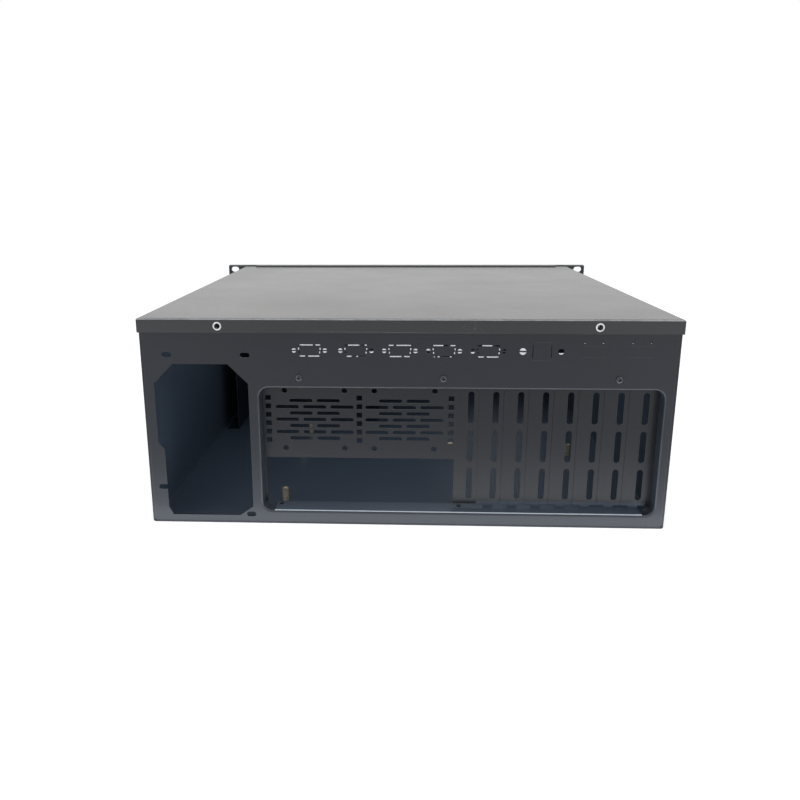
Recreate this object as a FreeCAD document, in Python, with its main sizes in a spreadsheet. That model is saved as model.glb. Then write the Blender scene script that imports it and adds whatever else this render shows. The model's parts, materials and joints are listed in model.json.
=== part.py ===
"""Empty 4U rackmount server case, 450 mm deep, in folded steel sheet.

Frame: +Z up, front faces -Y, rear faces +Y, X across.  The origin is on the
underside of the floor, at its centre.  The power supply bay is on the +X side.
Every size is a cell of the sheet "Sizes", and the features are bound to it.
"""
import FreeCAD
import Part
import Sketcher
import math
import os
import re

V = FreeCAD.Vector

# ------------------------------------------------------------- sizes, in mm
SIZES = {
    # folded body
    "body_width": 431.0,
    "body_height": 174.8,
    "body_depth": 450.0,
    "sheet": 1.2,
    "bend_radius": 2.0,
    "wall_bend": 1.4,
    "side_flange": 14.0,
    "front_flange": 13.0,
    "front_flange_foot": 8.0,
    "rear_flange": 12.0,
    "corner_relief": 4.0,
    "rail_hole_diameter": 4.3,
    "rail_hole_spacing": 170.0,
    "rail_hole_set_back": 120.0,
    "rail_hole_level": 100.0,
    # lid, and the rivet nuts that its two screws go into
    "lid_sheet": 1.0,
    "lid_gap": 0.3,
    "lid_skirt": 11.6,
    "lid_front_gap": 0.6,
    "lid_bend": 1.5,
    "lid_screw_spacing": 302.8,
    "lid_screw_drop": 6.3,
    "nut_flange_diameter": 6.9,
    "nut_flange_thickness": 0.8,
    "nut_flange_gap": 0.35,
    "nut_body_diameter": 5.8,
    "nut_body_length": 9.0,
    "nut_bore_diameter": 4.6,
    # window in the rear wall, and the recess behind it
    "window_side_gap": 7.5,
    "window_low": 11.6,
    "window_high": 118.9,
    "window_corner": 8.0,
    "recess_depth": 12.0,
    "shelf_depth": 18.5,
    "seat_gap": 1.0,
    # power supply cut-out, measured from the centre of the 150 x 86 mm unit
    "psu_side_gap": 47.0,
    "psu_level": 77.0,
    "psu_hole_side": 37.0,
    "psu_hole_inset": 10.0,
    "psu_hole_rise": 69.0,
    "psu_hole_step": 114.0,
    "psu_slot_length": 8.0,
    "psu_slot_width": 4.2,
    "psu_cut_half": 38.8,
    "psu_cut_top": 61.5,
    "psu_cut_bottom": 70.2,
    "psu_chamfer": 16.3,
    "psu_low_chamfer_x": 11.4,
    "psu_low_chamfer_z": 8.2,
    "psu_step": 5.0,
    "psu_step_drop": 6.0,
    "psu_foot_chamfer": 3.6,
    # serial port knock-outs
    "port_level": 150.2,
    "port_first": 77.7,
    "port_second": 40.3,
    "port_pitch": 35.2,
    "port_width": 17.8,
    "port_taper": 0.8,
    "port_height": 9.1,
    "port_screw_spacing": 25.0,
    "port_screw_diameter": 3.9,
    "slit": 1.0,
    "bridge": 1.9,
    "bridge_offset_top": 3.9,
    "bridge_offset_low": 2.4,
    "side_slit": 1.7,
    "side_slit_pitch": 3.0,
    # small knock-outs beside them
    "antenna_place": -92.4,
    "antenna_diameter": 5.6,
    "lock_place": -122.5,
    "lock_diameter": 4.8,
    "jack_place": -107.5,
    "jack_size": 14.6,
    "fine_slit": 0.5,
    "usb_knockout_first": -147.8,
    "usb_knockout_pitch": 37.2,
    "usb_knockout_width": 18.0,
    "usb_knockout_height": 9.0,
    "usb_dot_rise": 7.4,
    "usb_dot_spacing": 14.4,
    "usb_dot_diameter": 1.5,
    # recessed panel with the two fan grilles and the board opening
    "panel_lap": 3.6,
    "panel_low": 15.4,
    "leg_lap": 2.2,
    "shelf_level": 121.3,
    "lip_height": 11.6,
    "lip_screw_level": 127.6,
    "lip_screw_left": 86.8,
    "lip_screw_middle": -30.1,
    "lip_screw_right": -169.6,
    "aperture_gap": 19.5,
    "aperture_width": 158.7,
    "aperture_side": 2.2,
    "aperture_top": 55.3,
    "fan_pitch": 74.8,
    "fan_level": 88.8,
    "fan_hole_spacing": 50.0,
    "fan_hole_diameter": 4.5,
    "grille_slot_length": 19.2,
    "grille_slot_width": 3.1,
    "grille_slot_pitch": 22.9,
    "grille_row_pitch": 5.45,
    "square_size": 4.6,
    "square_pitch_x": 76.2,
    "square_pitch_z": 7.36,
    "square_top": 107.5,
    # card slots and their covers
    "slot_side": 4.16,
    "slot_pitch": 20.32,
    "slot_count": 7,
    "cover_sheet": 1.0,
    "cover_gap": 0.2,
    "cover_tab": 8.0,
    "cover_screw_in": 4.2,
    "cover_screw_diameter": 3.0,
    "cover_hole_gap": 0.6,
    "tongue_width": 8.0,
    "tongue_gap": 0.3,
    "vent_length": 27.4,
    "vent_width": 4.9,
    "vent_pitch": 33.2,
    "vent_level": 33.9,
    "vent_offset": 3.8,
    "vent_rows": 3,
    # bar on the window's shelf that the cover tongues drop into
    "bar_thickness": 1.0,
    "bar_end_gap": 1.8,
    "rivet_set_back": 13.0,
    "rivet_left": 106.3,
    "rivet_right": -46.1,
    "rivet_shank": 2.4,
    "rivet_head": 3.6,
    "rivet_head_height": 0.8,
    "rivet_gap": 0.05,
    # front panel with rack ears
    "front_width": 482.6,
    "front_lift": 0.6,
    "front_sheet": 2.0,
    "front_corner": 2.0,
    "rack_slot_inset": 8.75,
    "rack_slot_length": 10.3,
    "rack_slot_width": 6.8,
    "rack_outer_pitch": 165.1,
    "rack_inner_pitch": 101.6,
    "rail_depth": 25.0,
    "rail_lip": 12.0,
    "front_screw_inset": 7.0,
    "front_screw_end": 19.4,
    "intake_side": 27.5,
    "intake_pitch": 12.0,
    "intake_columns": 11,
    "intake_margin": 48.0,
    "intake_rise": 22.0,
    "intake_slot_width": 5.6,
    # drive bays
    "cage_side_gap": 5.0,
    "bay_width": 149.0,
    "bay_low": 25.5,
    "bay_pitch": 42.3,
    "bay_count": 3,
    "bay_gap": 0.35,
    "bay_cover_wall": 2.0,
    "bay_cover_depth": 14.0,
    "bay_cover_proud": 1.5,
    "bay_cover_edge": 1.0,
    "bay_grip_width": 34.0,
    "bay_grip_height": 5.0,
    "bay_grip_depth": 1.2,
    "cage_sheet": 1.0,
    "cage_depth": 188.0,
    "cage_foot": 13.0,
    "cage_roof_gap": 2.0,
    "drive_slot_length": 9.0,
    "drive_slot_width": 3.6,
    "drive_slot_in": 58.0,
    "drive_slot_pitch": 80.0,
    "drive_slot_rise": 12.0,
    "cage_window_length": 54.0,
    "cage_window_height": 14.0,
    # controls
    "control_gap": 5.5,
    "bracket_half": 17.0,
    "bracket_low": 52.0,
    "bracket_high": 158.0,
    "bracket_depth": 17.0,
    "bracket_foot": 8.0,
    "power_level": 140.0,
    "power_diameter": 13.0,
    "power_travel": 2.5,
    "reset_level": 117.0,
    "reset_diameter": 5.0,
    "reset_travel": 1.5,
    "button_gap": 0.3,
    "button_collar": 1.2,
    "button_collar_lip": 1.2,
    "button_stem": 3.2,
    "switch_size": 14.0,
    "switch_depth": 7.6,
    "light_level": 99.0,
    "light_spacing": 13.0,
    "light_diameter": 5.0,
    "light_gap": 0.1,
    "light_proud": 1.0,
    "usb_level": 68.0,
    "usb_pitch": 14.0,
    "usb_width": 13.2,
    "usb_height": 5.8,
    "usb_wall": 0.4,
    "usb_gap": 0.2,
    "usb_tongue": 1.8,
    # handles
    "handle_inset": 21.1,
    "handle_reach": 38.0,
    "handle_length": 112.0,
    "handle_width": 10.0,
    "handle_bar": 4.0,
    "handle_bend": 12.0,
    "handle_edge": 1.2,
    "handle_screw": 9.0,
    "handle_screw_height": 3.0,
    # pan head screws
    "screw_diameter": 3.0,
    "screw_head": 5.4,
    "screw_head_height": 1.5,
    "screw_gap": 0.1,
    "screw_length": 5.0,
    # board posts, on the standard board's hole grid
    "post_corner": 108.4,
    "post_column_near": 157.48,
    "post_column_far": 281.94,
    "post_corner_in": 36.3,
    "post_rear_in": 13.44,
    "post_middle_row": 154.94,
    "post_front_row": 227.33,
    "post_height": 12.0,
    "post_flats": 5.0,
    "post_bore": 2.5,
    "post_bore_depth": 8.0,
    # card retaining bar
    "beam_place": 62.0,
    "beam_width": 22.0,
    "beam_height": 12.0,
}

doc = FreeCAD.newDocument("server_case")
sheet = doc.addObject("Spreadsheet::Sheet", "Sizes")
for row, (alias, size) in enumerate(SIZES.items(), start=1):
    sheet.set(f"A{row}", alias.replace("_", " "))
    sheet.set(f"B{row}", str(size))
    sheet.setAlias(f"B{row}", alias)
doc.recompute()

# ------------------------------------- places worked out from the sizes
REAR = "(body_depth / 2)"
FRONT = "(-body_depth / 2)"
HALF = "(body_width / 2)"
WALL = "(body_width / 2 - sheet)"
INNER_BEND = "(bend_radius - sheet)"
ROOF = "(body_height - sheet)"
LID_TOP = "(body_height + lid_gap + lid_sheet)"
LID_SCREW = f"({LID_TOP} - lid_screw_drop)"
WINDOW_RIGHT = f"(window_side_gap - {WALL})"
RECESS = f"({REAR} - recess_depth)"
SHELF_END = f"({REAR} - shelf_depth)"
SLOT_END = f"({WINDOW_RIGHT} + slot_side)"
SLOT_START = f"({SLOT_END} + slot_count * slot_pitch)"
COVER_SCREW = f"({RECESS} + cover_screw_in)"
APERTURE_RIGHT = f"({SLOT_START} + aperture_gap)"
APERTURE = f"({APERTURE_RIGHT} + aperture_width / 2)"
APERTURE_LEFT = f"({APERTURE} + aperture_width / 2)"
WINDOW_LEFT = f"({APERTURE_LEFT} + aperture_side)"
PSU = f"({WALL} - psu_side_gap)"
FRONT_FACE = f"({FRONT} - front_sheet)"
FRONT_TOP = f"({LID_TOP} + lid_gap + sheet)"
FRONT_MIDDLE = f"((front_lift + {FRONT_TOP}) / 2)"
RACK_SLOT = "(front_width / 2 - rack_slot_inset)"
HANDLE = "(front_width / 2 - handle_inset)"
BAY_TOP = "(bay_low + bay_count * bay_pitch)"
CAGE_WALL = "(bay_width / 2 + cage_sheet)"
BAY = f"({WALL} - cage_side_gap - cage_foot - {CAGE_WALL})"
BRACKET_WALL = "(bracket_half + cage_sheet)"
BRACKET = f"({FRONT} + bracket_depth)"
CONTROL = f"({BAY} - {CAGE_WALL} - cage_foot - control_gap - bracket_foot - {BRACKET_WALL})"


def bound(formula):
    """Turn a formula written in size names into a spreadsheet expression."""
    def name(word):
        return "Sizes." + word.group() if word.group() in SIZES else word.group()
    return re.sub(r"[a-z][a-z_]*", name, formula)


def number(formula):
    """The value of a formula with the sizes as they stand."""
    return float(sheet.evalExpression(bound(formula)))


def count(formula):
    return int(round(number(formula)))


# ------------------------------------------------------------ drawing tools
class Drawing:
    """A sketch on one of its body's origin planes, every point tied to the sizes."""

    def __init__(self, body, name, plane, place):
        self.sketch = body.newObject("Sketcher::SketchObject", name)
        planes = {feature.Role: feature for feature in body.Origin.OriginFeatures}
        self.sketch.AttachmentSupport = [(planes[plane + "_Plane"], "")]
        self.sketch.MapMode = "FlatFace"
        self.sketch.setExpression(".AttachmentOffset.Base.z", bound(place))

    def limit(self, constraint, formula):
        index = self.sketch.addConstraint(constraint)
        self.sketch.setExpression(f"Constraints[{index}]", bound(formula))

    def tie(self, curve, point, x, y):
        """Hold a point of a curve at (x, y)."""
        self.tie_one("DistanceX", curve, point, x)
        self.tie_one("DistanceY", curve, point, y)

    def tie_one(self, kind, curve, point, formula):
        value = number(formula)
        self.limit(Sketcher.Constraint(kind, -1, 1, curve, point, value), formula)

    def join(self, curve, point, other, other_point):
        self.sketch.addConstraint(
            Sketcher.Constraint("Coincident", curve, point, other, other_point))

    def line(self, start, end):
        points = [V(number(x), number(y), 0) for x, y in (start, end)]
        return self.sketch.addGeometry(Part.LineSegment(*points), False)

    def arc(self, centre, radius, start, end):
        circle = Part.Circle(centre, V(0, 0, 1), radius)
        return self.sketch.addGeometry(Part.ArcOfCircle(circle, start, end), False)

    def outline(self, corners):
        """A closed outline.  A corner is (x, y), or (x, y, radius) if it is square."""
        total = len(corners)
        at = [V(number(corner[0]), number(corner[1]), 0) for corner in corners]
        arrive, leave, arcs = [], [], {}
        for i, corner in enumerate(corners):
            if len(corner) == 2:
                arrive.append(corner)
                leave.append(corner)
                continue
            x, y, radius = corner
            before = (at[i] - at[i - 1]).normalize()
            after = (at[(i + 1) % total] - at[i]).normalize()
            arrive.append(tuple(f"({place}) - ({radius}) * {round(step)}"
                                for place, step in ((x, before.x), (y, before.y))))
            leave.append(tuple(f"({place}) + ({radius}) * {round(step)}"
                               for place, step in ((x, after.x), (y, after.y))))
            size = number(radius)
            centre = at[i] + (after - before) * size
            left_turn = before.cross(after).z > 0
            first = -before if left_turn else after
            angle = math.atan2((-after).y, (-after).x) if left_turn else math.atan2(before.y, before.x)
            arcs[i] = (self.arc(centre, size, angle, angle + math.pi / 2), left_turn, radius)
        lines = [self.line(leave[i], arrive[(i + 1) % total]) for i in range(total)]
        for i in range(total):
            self.tie(lines[i], 1, *leave[i])
            if i in arcs:
                arc, left_turn, radius = arcs[i]
                self.tie(lines[i - 1], 2, *arrive[i])
                self.join(arc, 1 if left_turn else 2, lines[i - 1], 2)
                self.join(arc, 2 if left_turn else 1, lines[i], 1)
                self.limit(Sketcher.Constraint("Radius", arc, number(radius)), radius)
            else:
                self.join(lines[i - 1], 2, lines[i], 1)

    def rectangle(self, x_low, x_high, y_low, y_high, radius=None):
        corners = [(x_low, y_low), (x_high, y_low), (x_high, y_high), (x_low, y_high)]
        if radius:
            corners = [corner + (radius,) for corner in corners]
        self.outline(corners)

    def centred(self, x, y, width, height):
        """A plain rectangle about its centre."""
        self.rectangle(f"({x}) - ({width}) / 2", f"({x}) + ({width}) / 2",
                       f"({y}) - ({height}) / 2", f"({y}) + ({height}) / 2")

    def circle(self, x, y, diameter):
        centre = V(number(x), number(y), 0)
        shape = Part.Circle(centre, V(0, 0, 1), number(diameter) / 2)
        curve = self.sketch.addGeometry(shape, False)
        self.tie(curve, 3, x, y)
        self.limit(Sketcher.Constraint("Diameter", curve, number(diameter)), diameter)

    def obround(self, x, y, length, width, upright=False):
        """A slot with round ends."""
        reach = f"(({length}) - ({width})) / 2"
        side = f"({width}) / 2"
        size = number(side)
        ends = []
        lines = []
        for sign in (1, -1):
            if upright:
                start = (f"({x}) + ({side}) * {sign}", f"({y}) - ({reach}) * {sign}")
                end = (f"({x}) + ({side}) * {sign}", f"({y}) + ({reach}) * {sign}")
                centre = V(number(x), number(f"({y}) + ({reach}) * {sign}"), 0)
                turn = 0 if sign == 1 else math.pi
            else:
                start = (f"({x}) + ({reach}) * {sign}", f"({y}) + ({side}) * {sign}")
                end = (f"({x}) - ({reach}) * {sign}", f"({y}) + ({side}) * {sign}")
                centre = V(number(f"({x}) - ({reach}) * {sign}"), number(y), 0)
                turn = math.pi / 2 if sign == 1 else -math.pi / 2
            line = self.line(start, end)
            self.tie(line, 1, *start)
            self.tie(line, 2, *end)
            lines.append(line)
            ends.append(self.arc(centre, size, turn, turn + math.pi))
        for i, sign in enumerate((1, -1)):
            self.join(ends[i], 1, lines[i], 2)
            self.join(ends[i], 2, lines[1 - i], 1)
            if upright:
                self.tie_one("DistanceY", ends[i], 3, f"({y}) + ({reach}) * {sign}")
            else:
                self.tie_one("DistanceX", ends[i], 3, f"({x}) - ({reach}) * {sign}")

    def half_moons(self, x, y, diameter, bar):
        """A round knock-out held by a bar across its middle."""
        chord = f"sqrt((({diameter}) / 2)^2 - (({bar}) / 2)^2)"
        radius = f"({diameter}) / 2"
        tilt = math.asin(number(bar) / number(diameter))
        for sign in (1, -1):
            start = (f"({x}) - ({chord}) * {sign}", f"({y}) + ({bar}) / 2 * {sign}")
            end = (f"({x}) + ({chord}) * {sign}", f"({y}) + ({bar}) / 2 * {sign}")
            line = self.line(start, end)
            turn = tilt if sign == 1 else math.pi + tilt
            centre = V(number(x), number(y), 0)
            arc = self.arc(centre, number(radius), turn, turn + math.pi - 2 * tilt)
            self.tie(line, 1, *start)
            self.tie(line, 2, *end)
            self.join(arc, 1, line, 2)
            self.join(arc, 2, line, 1)
            self.limit(Sketcher.Constraint("Radius", arc, number(radius)), radius)

    def hexagon(self, x, y, flats):
        """A hexagon with two flats parallel to the sketch's x axis."""
        across = f"({flats}) / sqrt(3)"
        corners = []
        for step in range(6):
            turn = math.radians(60 * step)
            corners.append((f"({x}) + {across} * {math.cos(turn):.9f}",
                            f"({y}) + {across} * {math.sin(turn):.9f}"))
        self.outline(corners)


# Sign of each plane's normal on the world axis that it faces.
NORMAL = {"XY": 1, "XZ": -1, "YZ": 1}


class Piece:
    """One physical piece: a body whose pads and pockets run between two world planes."""

    made = []

    def __init__(self, label):
        self.body = doc.addObject("PartDesign::Body", label)
        self.body.Label = label
        Piece.made.append(self.body)

    def origin(self, role):
        return next(item for item in self.body.Origin.OriginFeatures if item.Role == role)

    def feature(self, kind, name, plane, place, length, draw):
        drawing = Drawing(self.body, name + "_sketch", plane, place)
        draw(drawing)
        feature = self.body.newObject("PartDesign::" + kind, name)
        feature.Profile = drawing.sketch
        feature.setExpression("Length", bound(length))
        return feature

    def add(self, name, plane, low, high, draw):
        place = low if NORMAL[plane] > 0 else f"-({high})"
        return self.feature("Pad", name, plane, place, f"({high}) - ({low})", draw)

    def cut(self, name, plane, low, high, draw):
        place = high if NORMAL[plane] > 0 else f"-({low})"
        return self.feature("Pocket", name, plane, place, f"({high}) - ({low})", draw)

    def repeat(self, feature, axis, spacing, copies, backwards=False, second=None):
        """Repeat a feature in a row, or in a grid if second gives (axis, spacing, copies)."""
        pattern = self.body.newObject("PartDesign::LinearPattern", feature.Name + "_row")
        pattern.Originals = [feature]
        pattern.Direction = (self.origin(axis + "_Axis"), [""])
        pattern.Mode = "Extent"
        pattern.Reversed = backwards
        pattern.setExpression("Length", bound(f"({spacing}) * ({copies} - 1)"))
        pattern.setExpression("Occurrences", bound(copies))
        if second:
            axis, spacing, copies = second
            pattern.Direction2 = (self.origin(axis + "_Axis"), [""])
            pattern.Mode2 = "Extent"
            pattern.setExpression("Length2", bound(f"({spacing}) * ({copies} - 1)"))
            pattern.setExpression("Occurrences2", bound(copies))
        self.body.Tip = pattern
        return pattern

    def mirror(self, features):
        """Mirror features across the case's middle plane."""
        copy = self.body.newObject("PartDesign::Mirrored", features[-1].Name + "_mirror")
        copy.Originals = features
        copy.MirrorPlane = (self.origin("YZ_Plane"), [""])
        self.body.Tip = copy
        return copy

    def round(self, name, radius, chosen):
        """Round the straight edges of the last feature that chosen(middle, run) picks."""
        doc.recompute()
        base = self.body.Tip
        names = []
        for i, edge in enumerate(base.Shape.Edges, start=1):
            if edge.Curve.TypeId != "Part::GeomLine":
                continue
            run = edge.Vertexes[1].Point - edge.Vertexes[0].Point
            if chosen(edge.CenterOfMass, run.normalize()):
                names.append(f"Edge{i}")
        fillet = self.body.newObject("PartDesign::Fillet", name)
        fillet.Base = (base, names)
        fillet.setExpression("Radius", bound(radius))
        return fillet


def near(value, formula):
    return abs(value - number(formula)) < 1e-4


def panel_screw_places():
    """Where screws hold the front panel to the body's flanges."""
    return [(f"({HALF} - front_screw_inset) * {side}",
             f"body_height / 2 + (body_height / 2 - front_screw_end) * {step}")
            for side in (1, -1) for step in (-1, 0, 1)]


# ------------------------------------------------------------- folded body
def chassis_body():
    """Floor and side walls folded from one sheet, with flanges to carry the lid."""
    piece = Piece("chassis_body")
    lip = f"({HALF} - side_flange)"
    right = [(f"{HALF}", "0", "bend_radius"), (HALF, "body_height", "bend_radius"),
             (lip, "body_height"), (lip, ROOF), (WALL, ROOF, INNER_BEND),
             (WALL, "sheet", INNER_BEND)]
    left = [(f"-{x}", *rest) for x, *rest in reversed(right)]
    piece.add("folded_channel", "XZ", FRONT, REAR, lambda d: d.outline(right + left))
    flange = piece.add(
        "front_flange", "XZ", FRONT, f"{FRONT} + sheet",
        lambda d: d.rectangle(f"{HALF} - front_flange", f"{HALF} - sheet / 2",
                              "front_flange_foot", f"{ROOF} - front_flange_foot"))
    piece.mirror([flange])
    notch = piece.cut(
        "rear_wall_notch", "XZ", f"{REAR} - rear_flange", REAR,
        lambda d: d.rectangle(lip, WALL, f"{ROOF} - bend_radius", "body_height"))
    piece.mirror([notch])

    def screw_holes(d):
        for x, z in panel_screw_places():
            d.circle(x, z, "screw_diameter + screw_gap * 2")
    piece.cut("panel_screw_holes", "XZ", FRONT, f"{FRONT} + sheet", screw_holes)

    def rail_holes(d):
        for side in (1, -1):
            d.circle(f"{FRONT} + rail_hole_set_back + rail_hole_spacing / 2 * {side}",
                     "rail_hole_level", "rail_hole_diameter")
    piece.cut("slide_rail_holes", "YZ", f"-{HALF}", HALF, rail_holes)


def port_slits(d, place, turned=1):
    """The dashed outline of one serial port knock-out and its two screw knock-outs."""
    top = "port_level + port_height / 2"
    low = "port_level - port_height / 2"
    wide = f"{place} + port_width / 2"
    far = f"{place} - port_width / 2"
    break_up = f"{place} - bridge_offset_top * {turned}"
    break_low = f"{place} + bridge_offset_low * {turned}"

    def dash(x_low, x_high, level):
        d.rectangle(x_low, x_high, f"{level} - slit / 2", f"{level} + slit / 2")
    dash(f"{break_up} + bridge / 2", wide, top)
    dash(far, f"{break_up} - bridge / 2", top)
    dash(f"{break_low} + bridge / 2", f"{wide} - port_taper", low)
    dash(f"{far} + port_taper", f"{break_low} - bridge / 2", low)
    for side in (1, -1):
        for rise in (1, -1):
            d.centred(f"{place} + (port_width - port_taper + port_taper / 2 * {rise}) / 2 * {side}",
                      f"port_level + side_slit_pitch / 2 * {rise}", "slit", "side_slit")
        d.half_moons(f"{place} + port_screw_spacing / 2 * {side}", "port_level",
                     "port_screw_diameter", "slit")


def usb_knockout(d, place):
    """A coined rectangle with two small dots above it."""
    half = "usb_knockout_width / 2"
    for rise in (1, -1):
        d.rectangle(f"{place} - {half}", f"{place} + {half}",
                    f"port_level + usb_knockout_height / 2 * {rise} - fine_slit / 2",
                    f"port_level + usb_knockout_height / 2 * {rise} + fine_slit / 2")
    for side in (1, -1):
        d.circle(f"{place} + usb_dot_spacing / 2 * {side}", "port_level + usb_dot_rise",
                 "usb_dot_diameter")


def psu_cut_out(d):
    """Opening for a 150 x 86 mm power supply standing on its side."""
    x, z = PSU, "psu_level"
    far = f"{x} - psu_cut_half"
    wide = f"{x} + psu_cut_half"
    step = f"{wide} - psu_step"
    top = f"{z} + psu_cut_top"
    low = f"{z} - psu_cut_bottom"
    d.outline([
        (f"{far} + psu_low_chamfer_x", low),
        (f"{step} - psu_foot_chamfer", low),
        (step, f"{low} + psu_foot_chamfer * 2"),
        (step, f"{z} - psu_step_drop * 2"),
        (wide, f"{z} - psu_step_drop"),
        (wide, f"{top} - psu_chamfer"),
        (f"{wide} - psu_chamfer", top),
        (f"{far} + psu_chamfer", top),
        (far, f"{top} - psu_chamfer"),
        (far, f"{low} + psu_low_chamfer_z"),
    ])


def psu_screw_slots(d):
    x, z = PSU, "psu_level"
    for across, rise in ((f"{x} - psu_hole_side", f"{z} + psu_hole_rise"),
                         (f"{x} + psu_hole_side - psu_hole_inset", f"{z} + psu_hole_rise"),
                         (f"{x} + psu_hole_side", f"{z} + psu_hole_rise - psu_hole_step"),
                         (f"{x} - psu_hole_side", f"{z} - psu_hole_rise")):
        d.obround(across, rise, "psu_slot_length", "psu_slot_width")


def rear_wall():
    """Rear wall: a shallow pan with a window whose edges are folded in."""
    piece = Piece("rear_wall")
    piece.add("blank", "XZ", f"{REAR} - rear_flange", REAR,
              lambda d: d.rectangle(f"-{WALL}", WALL, "sheet", "body_height"))
    piece.round("outer_bends", "wall_bend",
                lambda middle, run: near(middle.y, REAR) and abs(run.y) < 0.5)
    piece.cut("hollow", "XZ", f"{REAR} - rear_flange", f"{REAR} - sheet",
              lambda d: d.rectangle(f"-{WALL} + sheet", f"{WALL} - sheet", "sheet * 2", ROOF))
    piece.round("inner_bends", "wall_bend - sheet",
                lambda middle, run: near(middle.y, f"{REAR} - sheet") and abs(run.y) < 0.5)

    def open_corners(d):
        for side in (1, -1):
            for low, high in (("sheet", "sheet + corner_relief"),
                              ("body_height - corner_relief", "body_height")):
                ends = [f"({WALL} - corner_relief) * {side}", f"{WALL} * {side}"]
                d.rectangle(*(ends if side == 1 else reversed(ends)), low, high)
    piece.cut("open_corners", "XZ", f"{REAR} - rear_flange", f"{REAR} - wall_bend", open_corners)

    wall = (f"{REAR} - sheet", REAR)

    def window(d, grow):
        d.rectangle(f"{WINDOW_RIGHT} - {grow}", f"{WINDOW_LEFT} + {grow}", f"window_low - {grow}",
                    f"window_high + {grow}", f"window_corner + {grow}")
    piece.cut("window", "XZ", *wall, lambda d: window(d, "0"))

    def ring(d):
        window(d, "0")
        window(d, "sheet")
    piece.add("window_flange", "XZ", RECESS, f"{REAR} - sheet / 2", ring)
    inside = [number(WINDOW_RIGHT), number(WINDOW_LEFT)]
    piece.round("window_bend", "bend_radius", lambda middle, run: near(middle.y, REAR) and
                inside[0] - 1e-3 < middle.x < inside[1] + 1e-3 and
                number("window_low") - 1e-3 < middle.z < number("window_high") + 1e-3)
    piece.round("window_inner_bend", INNER_BEND, lambda middle, run:
                near(middle.y, f"{REAR} - sheet") and (
                    near(middle.z, "window_low - sheet") or near(middle.z, "window_high + sheet") or
                    near(middle.x, f"{WINDOW_LEFT} + sheet") or
                    near(middle.x, f"{WINDOW_RIGHT} - sheet")))
    piece.cut("flange_relief", "XZ", RECESS, f"{RECESS} + seat_gap",
              lambda d: d.rectangle(f"{WINDOW_RIGHT} - sheet * 2", f"{WINDOW_LEFT} + sheet * 2",
                                    "window_high - window_corner", "window_high + sheet * 2"))
    piece.add("window_shelf", "XZ", SHELF_END, f"{RECESS} + sheet / 2",
              lambda d: d.rectangle(f"{WINDOW_RIGHT} + window_corner",
                                    f"{WINDOW_LEFT} - window_corner",
                                    "window_low - sheet", "window_low"))
    piece.cut("psu_opening", "XZ", *wall, psu_cut_out)
    piece.cut("psu_slots", "XZ", *wall, psu_screw_slots)
    piece.cut("first_port", "XZ", *wall, lambda d: port_slits(d, "port_first"))
    piece.cut("second_port", "XZ", *wall, lambda d: port_slits(d, "port_second"))
    piece.cut("third_port", "XZ", *wall,
              lambda d: port_slits(d, "(port_second - port_pitch)", -1))
    port = piece.cut("last_ports", "XZ", *wall,
                     lambda d: port_slits(d, "(port_second - port_pitch * 2)"))
    piece.repeat(port, "X", "port_pitch", "2", backwards=True)

    def small_knockouts(d):
        d.half_moons("antenna_place", "port_level", "antenna_diameter", "slit")
        d.circle("lock_place", "port_level", "lock_diameter")
        usb_knockout(d, "usb_knockout_first")
        usb_knockout(d, "usb_knockout_first - usb_knockout_pitch")
        for sign in (1, -1):
            d.rectangle("jack_place - jack_size / 2", "jack_place + jack_size / 2",
                        f"port_level + jack_size / 2 * {sign} - fine_slit / 2",
                        f"port_level + jack_size / 2 * {sign} + fine_slit / 2")
            d.centred(f"jack_place + jack_size / 2 * {sign}", "port_level",
                      "fine_slit", "jack_size * 0.7")
    piece.cut("small_knockouts", "XZ", *wall, small_knockouts)

    def fixing_holes(d):
        for side in (1, -1):
            d.circle(f"lid_screw_spacing / 2 * {side}", LID_SCREW,
                     "nut_body_diameter + rivet_gap * 2")
        for place in ("lip_screw_left", "lip_screw_middle", "lip_screw_right"):
            d.circle(place, "lip_screw_level", "screw_diameter + screw_gap * 2")
    piece.cut("fixing_holes", "XZ", *wall, fixing_holes)

    def rivet_holes(d):
        for place in ("rivet_left", "rivet_right"):
            d.circle(place, f"{REAR} - rivet_set_back", "rivet_shank + rivet_gap * 2")
    piece.cut("rivet_holes", "XY", "window_low - sheet", "window_low", rivet_holes)


# --------------------------------------------------- recess behind the window
def vent_column(piece, place, low, high):
    """Three upright slots, one above the other."""
    vent = piece.cut("vent", "XZ", low, high,
                     lambda d: d.obround(place, "vent_level", "vent_length", "vent_width", True))
    piece.repeat(vent, "Z", "vent_pitch", "vent_rows")


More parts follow.
